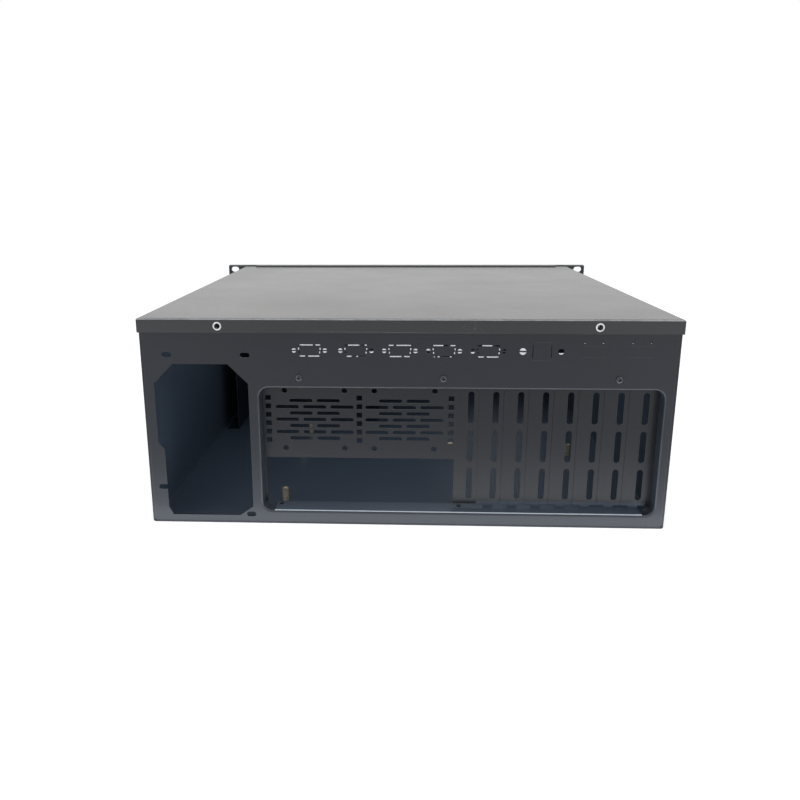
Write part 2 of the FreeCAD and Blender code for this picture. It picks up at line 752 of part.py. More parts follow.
def io_panel():
    """Recessed panel with its card shelf, two fan grilles and the board opening."""
    piece = Piece("io_panel")
    face = f"{REAR} - sheet"
    section = [(f"{RECESS} - sheet", "panel_low"), (RECESS, "panel_low"),
               (RECESS, "shelf_level - sheet", INNER_BEND),
               (face, "shelf_level - sheet", "bend_radius"),
               (face, "shelf_level + lip_height"), (f"{face} - sheet", "shelf_level + lip_height"),
               (f"{face} - sheet", "shelf_level", INNER_BEND),
               (f"{RECESS} - sheet", "shelf_level", "bend_radius")]
    piece.add("folded_strip", "YZ", f"{WINDOW_RIGHT} - leg_lap",
              f"{WINDOW_LEFT} + panel_lap", lambda d: d.outline(section))
    skin = (f"{RECESS} - sheet", RECESS)
    piece.cut("card_opening", "XZ", f"{RECESS} - sheet * 2", RECESS,
              lambda d: d.rectangle(SLOT_END, SLOT_START, "0", "shelf_level + sheet"))
    piece.cut("board_opening", "XZ", *skin,
              lambda d: d.rectangle(APERTURE_RIGHT, APERTURE_LEFT, "0", "aperture_top"))

    def fan_holes(d):
        for fan in (0.5, -0.5):
            for across in (1, -1):
                for rise in (1, -1):
                    d.circle(f"{APERTURE} + fan_pitch * {fan} + fan_hole_spacing / 2 * {across}",
                             f"fan_level + fan_hole_spacing / 2 * {rise}", "fan_hole_diameter")
    piece.cut("fan_screw_holes", "XZ", *skin, fan_holes)

    def grille_slots(name, first, level, columns, rows):
        """Slots of one row length, repeated to the side and upwards for one fan."""
        for fan in (0.5, -0.5):
            slot = piece.cut(name, "XZ", *skin,
                             lambda d: d.obround(f"{APERTURE} + fan_pitch * {fan} - {first}", level,
                                                 "grille_slot_length", "grille_slot_width"))
            piece.repeat(slot, "X", "grille_slot_pitch", columns,
                         second=("Z", "grille_row_pitch * 2", rows))
    grille_slots("short_row", "grille_slot_pitch / 2",
                 "fan_level - grille_row_pitch * 3", "2", "4")
    grille_slots("long_row", "grille_slot_pitch",
                 "fan_level - grille_row_pitch * 2", "3", "3")
    square = piece.cut("square_vent", "XZ", *skin,
                       lambda d: d.centred(f"{APERTURE} - square_pitch_x",
                                           "square_top - square_pitch_z * 5",
                                           "square_size", "square_size"))
    piece.repeat(square, "X", "square_pitch_x", "3", second=("Z", "square_pitch_z", "6"))
    vent_column(piece, f"{SLOT_START} + slot_pitch / 2 - vent_offset", *skin)

    def lip_holes(d):
        for place in ("lip_screw_left", "lip_screw_middle", "lip_screw_right"):
            d.circle(place, "lip_screw_level", "screw_diameter + screw_gap * 2")
    piece.cut("lip_screw_holes", "XZ", f"{face} - sheet", face, lip_holes)
    hole = piece.cut("card_screw_hole", "XY", "shelf_level - sheet", "shelf_level",
                     lambda d: d.circle(f"{SLOT_START} - slot_pitch / 2", COVER_SCREW,
                                        "cover_screw_diameter + screw_gap * 2"))
    piece.repeat(hole, "X", "slot_pitch", "slot_count", backwards=True)


def slot_cover(index):
    """Blank cover for one card slot: vented strip, screw tab and tongue."""
    piece = Piece(f"slot_cover_{index + 1}")
    middle = f"({SLOT_START} - slot_pitch * ({index} + 0.5))"
    half = "(slot_pitch - cover_gap) / 2"
    back = f"{RECESS} - cover_sheet"
    tab_top = "shelf_level + cover_sheet"
    section = [(back, "panel_low"), (RECESS, "panel_low"), (RECESS, "shelf_level"),
               (f"{RECESS} + cover_tab", "shelf_level"), (f"{RECESS} + cover_tab", tab_top),
               (back, tab_top, "cover_sheet")]
    piece.add("folded_strip", "YZ", f"{middle} - {half}", f"{middle} + {half}",
              lambda d: d.outline(section))
    piece.add("tongue", "XZ", back, RECESS,
              lambda d: d.rectangle(f"{middle} - tongue_width / 2", f"{middle} + tongue_width / 2",
                                    "window_low + tongue_gap", "panel_low + cover_sheet"))
    piece.cut("tab_hole", "XY", "shelf_level", tab_top,
              lambda d: d.circle(middle, COVER_SCREW, "cover_screw_diameter + cover_hole_gap"))
    vent_column(piece, f"{middle} - vent_offset", back, RECESS)


def tongue_bar():
    """Slitted bar on the window's shelf that holds the feet of the slot covers."""
    piece = Piece("tongue_bar")
    top = "window_low + bar_thickness"
    piece.add("bar", "XY", "window_low", top,
              lambda d: d.rectangle(f"{WINDOW_RIGHT} + window_corner + bar_end_gap",
                                    f"{WINDOW_LEFT} - window_corner - bar_end_gap",
                                    SHELF_END, REAR))
    slit = piece.cut("tongue_slit", "XY", "window_low", top,
                     lambda d: d.rectangle(
                         f"{SLOT_START} - slot_pitch / 2 - tongue_width / 2 - tongue_gap",
                         f"{SLOT_START} - slot_pitch / 2 + tongue_width / 2 + tongue_gap",
                         f"{RECESS} - cover_sheet - tongue_gap", f"{RECESS} + tongue_gap"))
    piece.repeat(slit, "X", "slot_pitch", "slot_count", backwards=True)

    def rivet_holes(d):
        for place in ("rivet_left", "rivet_right"):
            d.circle(place, f"{REAR} - rivet_set_back", "rivet_shank + rivet_gap * 2")
    piece.cut("rivet_holes", "XY", "window_low", top, rivet_holes)


# ---------------------------------------------------------------- fasteners
def stack(piece, name, plane, steps, draw):
    """Coaxial cylinders: steps are (low, high, diameter) along the plane's axis."""
    for order, (low, high, diameter) in enumerate(steps):
        piece.add(f"{name}_{order}", plane, low, high, lambda d: draw(d, diameter))


def shelf_rivets():
    piece = Piece("shelf_rivets")
    top = "window_low + bar_thickness"
    under = "window_low - sheet"

    def at_rivets(d, diameter):
        for place in ("rivet_left", "rivet_right"):
            d.circle(place, f"{REAR} - rivet_set_back", diameter)
    stack(piece, "rivet", "XY", [(top, f"{top} + rivet_head_height", "rivet_head"),
                                 (under, top, "rivet_shank"),
                                 (f"{under} - rivet_head_height", under, "rivet_head")], at_rivets)


def io_panel_screws():
    piece = Piece("io_panel_screws")

    def at_lip(d, diameter):
        for place in ("lip_screw_left", "lip_screw_middle", "lip_screw_right"):
            d.circle(place, "lip_screw_level", diameter)
    stack(piece, "screw", "XZ", [(REAR, f"{REAR} + screw_head_height", "screw_head"),
                                 (f"{REAR} - screw_length", REAR, "screw_diameter")], at_lip)


def slot_cover_screws():
    piece = Piece("slot_cover_screws")
    seat = "shelf_level + cover_sheet"

    def at_tabs(d, diameter):
        for index in range(count("slot_count")):
            d.circle(f"{SLOT_START} - slot_pitch * ({index} + 0.5)", COVER_SCREW, diameter)
    stack(piece, "screw", "XY",
          [(seat, f"{seat} + screw_head_height", "cover_screw_diameter * 2"),
           ("shelf_level - sheet", seat, "cover_screw_diameter")], at_tabs)


def lid_rivet_nuts():
    """Rivet nuts in the rear wall, their flanges showing through the lid's holes."""
    piece = Piece("lid_rivet_nuts")

    def at_nuts(d, diameter):
        for side in (1, -1):
            d.circle(f"lid_screw_spacing / 2 * {side}", LID_SCREW, diameter)
    stack(piece, "nut", "XZ",
          [(REAR, f"{REAR} + nut_flange_thickness", "nut_flange_diameter"),
           (f"{REAR} - nut_body_length", REAR, "nut_body_diameter")], at_nuts)
    piece.cut("thread_bore", "XZ", f"{REAR} - nut_body_length", f"{REAR} + nut_flange_thickness",
              lambda d: at_nuts(d, "nut_bore_diameter"))


def panel_screws():
    piece = Piece("panel_screws")

    def at_flanges(d, diameter):
        for x, z in panel_screw_places():
            d.circle(x, z, diameter)
    stack(piece, "screw", "XZ",
          [(f"{FRONT_FACE} - screw_head_height", FRONT_FACE, "screw_head"),
           (FRONT_FACE, f"{FRONT_FACE} + screw_length", "screw_diameter")], at_flanges)


def handle_screws():
    piece = Piece("handle_screws")

    def at_handles(d):
        for side in (1, -1):
            for end in (1, -1):
                d.circle(f"{HANDLE} * {side}",
                         f"{FRONT_MIDDLE} + (handle_length - handle_bar) / 2 * {end}",
                         "handle_screw")
    piece.add("heads", "XZ", FRONT, f"{FRONT} + handle_screw_height", at_handles)


def cage_screws():
    piece = Piece("cage_screws")
    seat = "sheet + cage_sheet"

    def at_feet(d, diameter):
        for side in (1, -1):
            for end in (0.15, 0.85):
                d.circle(f"{BAY} + ({CAGE_WALL} + cage_foot / 2) * {side}",
                         f"{FRONT} + sheet + cage_depth * {end}", diameter)
    piece.add("heads", "XY", seat, f"{seat} + screw_head_height", lambda d: at_feet(d, "screw_head"))


# --------------------------------------------------------------------- lid
def top_lid():
    """Lid: a pan with skirts outside the side and rear walls."""
    piece = Piece("top_lid")
    outer = f"({HALF} + lid_gap + lid_sheet)"
    inner = f"({HALF} + lid_gap)"
    low = f"{LID_TOP} - lid_skirt"
    nose = f"{FRONT} + sheet + lid_front_gap"
    rear = f"{REAR} + lid_gap + lid_sheet"
    piece.add("blank", "XY", low, LID_TOP, lambda d: d.rectangle(f"-{outer}", outer, nose, rear))
    piece.round("bends", "lid_bend",
                lambda middle, run: near(middle.z, LID_TOP) and not near(middle.y, nose))
    piece.cut("hollow", "XY", low, f"{LID_TOP} - lid_sheet",
              lambda d: d.rectangle(f"-{inner}", inner, f"{nose} - sheet", f"{REAR} + lid_gap"))

    def holes(d):
        for side in (1, -1):
            d.circle(f"lid_screw_spacing / 2 * {side}", LID_SCREW,
                     "nut_flange_diameter + nut_flange_gap * 2")
    piece.cut("screw_holes", "XZ", f"{REAR} + lid_gap", rear, holes)


# ------------------------------------------------------------------- front
def front_panel():
    """Front panel with the rack ears in one piece."""
    piece = Piece("front_panel")
    piece.add("plate", "XZ", FRONT_FACE, FRONT,
              lambda d: d.rectangle("-front_width / 2", "front_width / 2", "front_lift", FRONT_TOP,
                                    "front_corner"))

    def rack_slots(d):
        for side in (1, -1):
            for pitch in ("rack_outer_pitch", "rack_inner_pitch"):
                for end in (1, -1):
                    d.obround(f"{RACK_SLOT} * {side}",
                              f"{FRONT_MIDDLE} + {pitch} / 2 * {end}",
                              "rack_slot_length", "rack_slot_width")
    skin = (FRONT_FACE, FRONT)
    piece.cut("rack_slots", "XZ", *skin, rack_slots)
    slot = piece.cut("intake_slot", "XZ", *skin,
                     lambda d: d.obround(f"intake_side - {WALL}",
                                         "body_height / 2 + intake_rise",
                                         "body_height - intake_margin * 2", "intake_slot_width",
                                         True))
    piece.repeat(slot, "X", "intake_pitch", "intake_columns")
    piece.cut("bay_opening", "XZ", *skin,
              lambda d: d.rectangle(f"{BAY} - bay_width / 2", f"{BAY} + bay_width / 2",
                                    "bay_low", BAY_TOP))

    def small_holes(d):
        d.circle(CONTROL, "power_level", "power_diameter + button_gap * 2")
        d.circle(CONTROL, "reset_level", "reset_diameter + button_gap * 2")
        for side in (1, -1):
            d.circle(f"{CONTROL} + light_spacing / 2 * {side}", "light_level",
                     "light_diameter + light_gap * 2")
            d.centred(CONTROL, f"usb_level + usb_pitch / 2 * {side}",
                      "usb_width + usb_gap * 2", "usb_height + usb_gap * 2")
        for x, z in panel_screw_places():
            d.circle(x, z, "screw_diameter + screw_gap * 2")
    piece.cut("small_holes", "XZ", *skin, small_holes)


def front_rail():
    """Channel across the front's top: the lid's front edge slides in under its lip."""
    piece = Piece("front_rail")
    lip_under = f"{FRONT_TOP} - sheet"
    section = [(FRONT, ROOF, "bend_radius"), (f"{FRONT} + rail_depth", ROOF),
               (f"{FRONT} + rail_depth", "body_height"),
               (f"{FRONT} + sheet", "body_height"),
               (f"{FRONT} + sheet", lip_under),
               (f"{FRONT} + rail_lip", lip_under), (f"{FRONT} + rail_lip", FRONT_TOP),
               (FRONT, FRONT_TOP, "sheet")]
    piece.add("folded_channel", "YZ", f"-({HALF} - side_flange)", f"{HALF} - side_flange",
              lambda d: d.outline(section))


def bay_cover(index):
    """Plastic blank for one drive bay: a shallow tray with a finger groove."""
    piece = Piece(f"bay_cover_{index + 1}")
    half = "(bay_width / 2 - bay_gap)"
    low = f"(bay_low + bay_pitch * {index} + bay_gap)"
    high = f"(bay_low + bay_pitch * ({index} + 1) - bay_gap)"
    face = f"{FRONT_FACE} - bay_cover_proud"
    back = f"{FRONT_FACE} + bay_cover_depth"
    piece.add("block", "XZ", face, back,
              lambda d: d.rectangle(f"{BAY} - {half}", f"{BAY} + {half}", low, high))
    piece.round("front_edges", "bay_cover_edge",
                lambda middle, run: near(middle.y, face) and abs(run.y) < 0.5)
    piece.cut("hollow", "XZ", f"{face} + bay_cover_wall", back,
              lambda d: d.rectangle(f"{BAY} - {half} + bay_cover_wall",
                                    f"{BAY} + {half} - bay_cover_wall",
                                    f"{low} + bay_cover_wall", f"{high} - bay_cover_wall"))
    middle = f"({low} + {high}) / 2"
    piece.cut("finger_groove", "XZ", face, f"{face} + bay_grip_depth",
              lambda d: d.obround(BAY, middle, "bay_grip_width", "bay_grip_height"))


def drive_cage():
    """Cage for the drives: a hat section standing on the floor behind the bays."""
    piece = Piece("drive_cage")
    inner_bend = "(bend_radius - cage_sheet)"
    roof = f"{BAY_TOP} + cage_roof_gap + cage_sheet"
    foot_top = "sheet + cage_sheet"
    right = [("bay_width / 2", "sheet"), (f"{CAGE_WALL} + cage_foot", "sheet"),
             (f"{CAGE_WALL} + cage_foot", foot_top), (CAGE_WALL, foot_top, inner_bend),
             (CAGE_WALL, roof, "bend_radius")]
    left = [(f"-({x})", *rest) for x, *rest in reversed(right)]
    inside = [("-bay_width / 2", f"{roof} - cage_sheet", inner_bend),
              ("bay_width / 2", f"{roof} - cage_sheet", inner_bend)]
    section = [(f"{BAY} + ({x})", *rest) for x, *rest in right + left + inside]
    start = f"{FRONT} + sheet"
    piece.add("hat_section", "XZ", start, f"{start} + cage_depth", lambda d: d.outline(section))
    walls = (f"{BAY} - {CAGE_WALL}", f"{BAY} + {CAGE_WALL}")
    slot = piece.cut("drive_slot", "YZ", *walls,
                     lambda d: d.obround(f"{start} + drive_slot_in", "bay_low + drive_slot_rise",
                                         "drive_slot_length", "drive_slot_width"))
    piece.repeat(slot, "Y", "drive_slot_pitch", "2", second=("Z", "bay_pitch", "bay_count"))
    window = piece.cut("cage_window", "YZ", *walls,
                       lambda d: d.centred(f"{start} + drive_slot_in + drive_slot_pitch / 2",
                                           "bay_low + bay_pitch / 2 + drive_slot_rise / 2",
                                           "cage_window_length", "cage_window_height"))
    piece.repeat(window, "Z", "bay_pitch", "bay_count")


def control_bracket():
    """Bracket behind the panel that carries the switches, lights and sockets."""
    piece = Piece("control_bracket")
    inner_bend = "(bend_radius - cage_sheet)"
    right = [(f"{BRACKET_WALL} + bracket_foot", FRONT),
             (f"{BRACKET_WALL} + bracket_foot", f"{FRONT} + cage_sheet"),
             (BRACKET_WALL, f"{FRONT} + cage_sheet", inner_bend),
             (BRACKET_WALL, f"{BRACKET} + cage_sheet", "bend_radius")]
    left = [(f"-({x})", *rest) for x, *rest in reversed(right)]
    inside = [("-bracket_half", FRONT), ("-bracket_half", BRACKET, inner_bend),
              ("bracket_half", BRACKET, inner_bend), ("bracket_half", FRONT)]
    section = [(f"{CONTROL} + ({x})", *rest) for x, *rest in right + left + inside]
    piece.add("hat_section", "XY", "bracket_low", "bracket_high", lambda d: d.outline(section))


def switch(name, level):
    """A push switch on the bracket, bored for its button's stem."""
    piece = Piece(name)
    face = f"{BRACKET} - switch_depth"
    piece.add("housing", "XZ", face, BRACKET,
              lambda d: d.centred(CONTROL, level, "switch_size", "switch_size"))
    piece.cut("stem_bore", "XZ", face, BRACKET,
              lambda d: d.circle(CONTROL, level, "button_stem + button_gap * 2"))


def button(name, level, diameter, travel):
    """A press button: cap, retaining collar behind the panel, and stem."""
    piece = Piece(name)
    collar = f"{FRONT} + button_gap"
    stem_end = f"{BRACKET} - {travel} - button_gap"

    def disc(size):
        return lambda d: d.circle(CONTROL, level, size)
    piece.add("cap", "XZ", f"{FRONT_FACE} - {travel} - button_gap", collar, disc(diameter))
    piece.add("collar", "XZ", collar, f"{collar} + button_collar",
              disc(f"{diameter} + button_collar_lip * 2"))
    piece.add("stem", "XZ", f"{collar} + button_collar", stem_end, disc("button_stem"))


def led_lights():
    piece = Piece("led_lights")

    def at_lights(d):
        for side in (1, -1):
            d.circle(f"{CONTROL} + light_spacing / 2 * {side}", "light_level",
                     "light_diameter")
    piece.add("lens", "XZ", f"{FRONT_FACE} - light_proud", BRACKET, at_lights)


def usb_sockets():
    """Two socket shells, open to the front."""
    piece = Piece("usb_sockets")

    def shells(width, height):
        def draw(d):
            for side in (1, -1):
                d.centred(CONTROL, f"usb_level + usb_pitch / 2 * {side}", width, height)
        return draw
    face = f"{FRONT_FACE} - usb_gap"
    piece.add("shell", "XZ", face, BRACKET, shells("usb_width", "usb_height"))
    piece.cut("mouth", "XZ", face, f"{BRACKET} - usb_wall",
              shells("usb_width - usb_wall * 2", "usb_height - usb_wall * 2"))


def usb_tongues():
    piece = Piece("usb_tongues")

    def tongues(d):
        for side in (1, -1):
            d.centred(CONTROL, f"usb_level + usb_pitch / 2 * {side} + usb_tongue / 2",
                      "usb_width - usb_tongue * 2", "usb_tongue")
    piece.add("tongue", "XZ", f"{FRONT_FACE} + usb_wall", f"{BRACKET} - usb_wall", tongues)


def handle(name, side):
    """Carrying handle bent from flat bar."""
    piece = Piece(name)
    reach = f"{FRONT_FACE} - handle_reach"
    low = f"{FRONT_MIDDLE} - handle_length / 2"
    high = f"{FRONT_MIDDLE} + handle_length / 2"
    inner_bend = "handle_bend - handle_bar"
    section = [(FRONT_FACE, low), (FRONT_FACE, f"{low} + handle_bar"),
               (f"{reach} + handle_bar", f"{low} + handle_bar", inner_bend),
               (f"{reach} + handle_bar", f"{high} - handle_bar", inner_bend),
               (FRONT_FACE, f"{high} - handle_bar"), (FRONT_FACE, high),
               (reach, high, "handle_bend"), (reach, low, "handle_bend")]
    piece.add("bar", "YZ", f"{HANDLE} * {side} - handle_width / 2",
              f"{HANDLE} * {side} + handle_width / 2", lambda d: d.outline(section))
    piece.round("soft_edges", "handle_edge",
                lambda middle, run: abs(run.x) < 0.5 and near(middle.y, reach))


# ------------------------------------------------------------------ inside
def board_posts():
    """Hexagonal brass posts on the board's hole grid."""
    piece = Piece("board_posts")
    face = f"{RECESS} - post_rear_in"
    corner, near_column, far_column = ("post_corner", "post_corner - post_column_near",
                                       "post_corner - post_column_far")
    places = [(corner, f"{RECESS} - post_corner_in"), (near_column, face), (far_column, face)]
    for row in ("post_middle_row", "post_front_row"):
        places += [(column, f"{face} - {row}") for column in (corner, near_column, far_column)]

    def posts(d):
        for x, y in places:
            d.hexagon(x, y, "post_flats")

    def bores(d):
        for x, y in places:
            d.circle(x, y, "post_bore")
    top = "sheet + post_height"
    piece.add("post", "XY", "sheet", top, posts)
    piece.cut("bore", "XY", f"{top} - post_bore_depth", top, bores)


def card_beam():
    """Channel across the case, under the side flanges, that steadies the cards."""
    piece = Piece("card_beam")
    half = "beam_width / 2"
    low = f"{ROOF} - beam_height"
    section = [(f"beam_place - {half}", low), (f"beam_place - {half} + sheet", low),
               (f"beam_place - {half} + sheet", f"{ROOF} - sheet", INNER_BEND),
               (f"beam_place + {half} - sheet", f"{ROOF} - sheet", INNER_BEND),
               (f"beam_place + {half} - sheet", low), (f"beam_place + {half}", low),
               (f"beam_place + {half}", ROOF, "bend_radius"),
               (f"beam_place - {half}", ROOF, "bend_radius")]
    piece.add("folded_channel", "YZ", f"-({WALL} - {INNER_BEND})", f"{WALL} - {INNER_BEND}",
              lambda d: d.outline(section))


# ------------------------------------------------------------------- build
chassis_body()
rear_wall()
io_panel()
for index in range(count("slot_count")):
    slot_cover(index)
tongue_bar()
shelf_rivets()
io_panel_screws()
slot_cover_screws()
lid_rivet_nuts()
top_lid()
front_panel()
front_rail()
panel_screws()
for index in range(count("bay_count")):
    bay_cover(index)
drive_cage()
cage_screws()
control_bracket()
switch("power_switch", "power_level")
switch("reset_switch", "reset_level")
button("power_button", "power_level", "power_diameter", "power_travel")
button("reset_button", "reset_level", "reset_diameter", "reset_travel")
led_lights()
usb_sockets()
usb_tongues()
handle("handle_left", 1)
handle("handle_right", -1)
handle_screws()
board_posts()
card_beam()
doc.recompute()

# ------------------------------------------------------------------- checks
for item in doc.Objects:
    if {"Invalid", "Error"} & set(item.State):
        raise RuntimeError(f"{item.Name} failed: {item.State}")
    if item.TypeId == "PartDesign::Pocket" and item.Shape.Volume >= item.BaseFeature.Shape.Volume:
        raise RuntimeError(f"{item.Name} cuts nothing")
for body in Piece.made:
    if body.Shape.isNull() or not body.Shape.isValid() or not body.Shape.Solids:
        raise RuntimeError(f"{body.Label} has no valid solid")

os.makedirs("parts", exist_ok=True)
for body in Piece.made:
    body.Shape.exportStep(f"parts/{body.Label}.step")
    print(f"{body.Label}: {len(body.Shape.Solids)} solid(s), {body.Shape.Volume:.1f} mm3")
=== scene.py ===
"""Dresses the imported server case: coats, bare metal, threads and screw recesses."""
import json
import math
import random

import bmesh
import bpy
from mathutils import Matrix, Vector


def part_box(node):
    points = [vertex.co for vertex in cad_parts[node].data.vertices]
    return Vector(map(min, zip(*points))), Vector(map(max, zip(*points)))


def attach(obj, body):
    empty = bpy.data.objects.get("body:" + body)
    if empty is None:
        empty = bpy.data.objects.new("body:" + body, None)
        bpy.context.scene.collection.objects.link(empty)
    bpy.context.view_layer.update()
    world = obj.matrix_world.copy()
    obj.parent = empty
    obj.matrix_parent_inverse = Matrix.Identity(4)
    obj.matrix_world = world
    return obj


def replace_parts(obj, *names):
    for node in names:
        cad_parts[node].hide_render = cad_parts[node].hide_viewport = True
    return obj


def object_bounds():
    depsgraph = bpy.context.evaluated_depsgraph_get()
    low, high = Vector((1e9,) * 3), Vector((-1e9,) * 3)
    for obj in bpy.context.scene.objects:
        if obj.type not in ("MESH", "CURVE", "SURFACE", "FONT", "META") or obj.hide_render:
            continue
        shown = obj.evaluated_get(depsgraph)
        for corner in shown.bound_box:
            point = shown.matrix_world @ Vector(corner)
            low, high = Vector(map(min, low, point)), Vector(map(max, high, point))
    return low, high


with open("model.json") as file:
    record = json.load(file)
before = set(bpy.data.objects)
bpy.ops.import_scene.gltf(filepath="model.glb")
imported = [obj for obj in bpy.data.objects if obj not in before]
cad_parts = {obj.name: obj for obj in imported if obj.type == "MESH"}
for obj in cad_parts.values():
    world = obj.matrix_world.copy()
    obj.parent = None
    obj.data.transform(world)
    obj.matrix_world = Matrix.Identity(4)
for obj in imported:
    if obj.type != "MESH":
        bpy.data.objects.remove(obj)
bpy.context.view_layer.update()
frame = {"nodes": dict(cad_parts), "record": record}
MM = 0.001
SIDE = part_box("chassis_body")[1][0]
BODY_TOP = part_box("chassis_body")[1][2]
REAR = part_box("rear_wall")[1][1]
BOTH, UPPER, LOWER = (1, -1), (1,), (-1,)


# --------------------------------------------------------------- node helpers
class Nodes:
    """A material's or world's node tree with short calls."""

    def __init__(self, tree):
        self.tree = tree
        tree.nodes.clear()

    def feed(self, socket, value):
        """Link an output to the socket, or set a constant on it."""
        if isinstance(value, bpy.types.NodeSocket):
            self.tree.links.new(value, socket)
        else:
            socket.default_value = value

    def add(self, kind, values=None, **settings):
        node = self.tree.nodes.new(kind)
        for name, value in settings.items():
            setattr(node, name, value)
        for name, value in (values or {}).items():
            self.feed(node.inputs[name], value)
        return node

    def math(self, operation, first, second=0.0, clamp=False):
        return self.add("ShaderNodeMath", {0: first, 1: second}, operation=operation,
                        use_clamp=clamp).outputs[0]

    def times(self, first, *others):
        for other in others:
            first = self.math("MULTIPLY", first, other)
        return first

    def span(self, value, low, high, to_low=0.0, to_high=1.0):
        """Map low..high to to_low..to_high, and hold the ends beyond."""
        return self.add("ShaderNodeMapRange", {"Value": value, "From Min": low, "From Max": high,
                                               "To Min": to_low, "To Max": to_high}).outputs[0]

    def vary(self, noise, to_low=0.0, to_high=1.0):
        """Map the range in which a noise mostly lies."""
        return self.span(noise, 0.3, 0.7, to_low, to_high)

    def mix(self, factor, first, second):
        """Blend two colours."""
        return self.add("ShaderNodeMix", {0: factor, 6: first, 7: second},
                        data_type="RGBA").outputs[2]

    def noise(self, place, scale, detail=2.0, roughness=0.5):
        return self.add("ShaderNodeTexNoise", {"Vector": place, "Scale": scale, "Detail": detail,
                                               "Roughness": roughness}).outputs[0]

    def stretched(self, place, scale):
        return self.add("ShaderNodeVectorMath", {0: place, 1: scale},
                        operation="MULTIPLY").outputs[0]

    def part(self, vector, axis):
        """One coordinate of a vector: 0 for X, 1 for Y and 2 for Z."""
        return self.add("ShaderNodeSeparateXYZ", {0: vector}).outputs[axis]

    def normal_part(self, axis):
        return self.part(self.add("ShaderNodeNewGeometry").outputs["Normal"], axis)

    def bump(self, height, distance, strength=1.0):
        return self.add("ShaderNodeBump", {"Height": height, "Distance": distance,
                                           "Strength": strength}).outputs[0]


def material(name):
    """A material with a principled shader, and the object coordinates that its textures use."""
    made = bpy.data.materials.new(name)
    made.use_nodes = True
    nodes = Nodes(made.node_tree)
    place = nodes.add("ShaderNodeTexCoord").outputs["Object"]
    shader = nodes.add("ShaderNodeBsdfPrincipled")
    nodes.add("ShaderNodeOutputMaterial", {0: shader.outputs[0]})
    return made, nodes, place, shader


def finish_surface(nodes, shader, **values):
    """Feed the shader's sockets, with spaces in their names written as underscores."""
    for name, value in values.items():
        nodes.feed(shader.inputs[name.replace("_", " ")], value)


def grey(level, blue=1.0):
    return (level, level, level * blue, 1.0)


def shade(colour, factor):
    """The colour made darker or lighter."""
    return tuple(channel * factor for channel in colour[:3]) + (1.0,)


# ------------------------------------------------- masks: one where a tint goes
SKIN = 0.4 * MM                     # an inner face lies at least this far inside
REAR_SKIN = 0.3 * MM
TONGUE_RISE, TONGUE_FADE = 3.4 * MM, 6.4 * MM       # tongues' height above the bar
RUB_PLACE, RUB_REACH = -50 * MM, 13 * MM


def inside_mask(nodes, place):
    """One on faces that look into the case; three coats paint light there as a lighter, bluer tint.
    """
    across = nodes.math("LESS_THAN", nodes.math("ABSOLUTE", nodes.part(place, 0)), SIDE - SKIN)
    along = nodes.math("LESS_THAN", nodes.math("ABSOLUTE", nodes.part(place, 1)),
                       REAR - REAR_SKIN)
    above = nodes.math("GREATER_THAN", nodes.part(place, 2), SKIN)
    below = nodes.math("LESS_THAN", nodes.part(place, 2), BODY_TOP - SKIN)
    return nodes.times(across, along, above, below)


def top_light_mask(nodes, place):
    """One on faces that look up, where the lid's coat paints light on its top as a lighter tint."""
    return nodes.math("GREATER_THAN", nodes.normal_part(2), 0.9)


def rim_highlight_mask(nodes, place):
    """One on the back of the front panel and rail where they stand above the lid, where a painted
    highlight goes.
    """
    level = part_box("top_lid")[1][2] - SKIN
    return nodes.times(nodes.math("GREATER_THAN", nodes.part(place, 2), level),
                       nodes.math("GREATER_THAN", nodes.normal_part(1), 0.5))


def foot_light_mask(nodes, place):
    """One on the slot covers' tongues, fading out just above them, where painted light lifts their
    shade to a bluer grey.
    """
    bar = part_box("tongue_bar")[1][2]
    return nodes.span(nodes.part(place, 2), bar + TONGUE_RISE, bar + TONGUE_FADE, 1.0, 0.0)


def bend_highlight_mask(nodes, place):
    """One along the middle of the rounds between a rear face and the flange folded from it, in
    patches, where the coats paint a highlight.
    """
    lean = nodes.math("ABSOLUTE", nodes.normal_part(1))
    patchy = nodes.span(nodes.noise(place, 60.0, 3.0, 0.6), 0.30, 0.60, 0.6, 1.0)
    return nodes.times(nodes.span(lean, 0.45, 0.62), nodes.span(lean, 0.985, 0.93), patchy)


def edge_mask(nodes, place):
    """One on faces flush with the outside of the rear wall."""
    return nodes.math("GREATER_THAN", nodes.part(place, 1), REAR - 0.1 * MM)


def scuff_mask(nodes, place):
    """Short pale rubs near the middle of the lid's rear skirt, and faint marks all along it."""
    off = nodes.math("ABSOLUTE", nodes.math("SUBTRACT", nodes.part(place, 0), RUB_PLACE))
    near = nodes.math("SUBTRACT", 1.0, nodes.math("DIVIDE", off, RUB_REACH), clamp=True)
    behind = nodes.math("GREATER_THAN", nodes.part(place, 1), REAR + 0.5 * MM)
    streak = nodes.noise(nodes.stretched(place, (420.0, 1.0, 1300.0)), 1.0, 3.0, 0.6)
    fine = nodes.noise(nodes.stretched(place, (60.0, 10.0, 700.0)), 1.0, 4.0, 0.7)
    rub = nodes.times(nodes.span(streak, 0.60, 0.70), near, behind, 0.55)
    faint = nodes.times(nodes.span(fine, 0.66, 0.76), 0.10, behind)
    return nodes.math("MAXIMUM", rub, faint)


# In the order in which the tints lie over each other.
TINT_MASKS = {"inner": inside_mask, "top": top_light_mask, "rim": rim_highlight_mask, "foot": foot_light_mask,
              "bend": bend_highlight_mask, "scuff": scuff_mask, "edge": edge_mask}


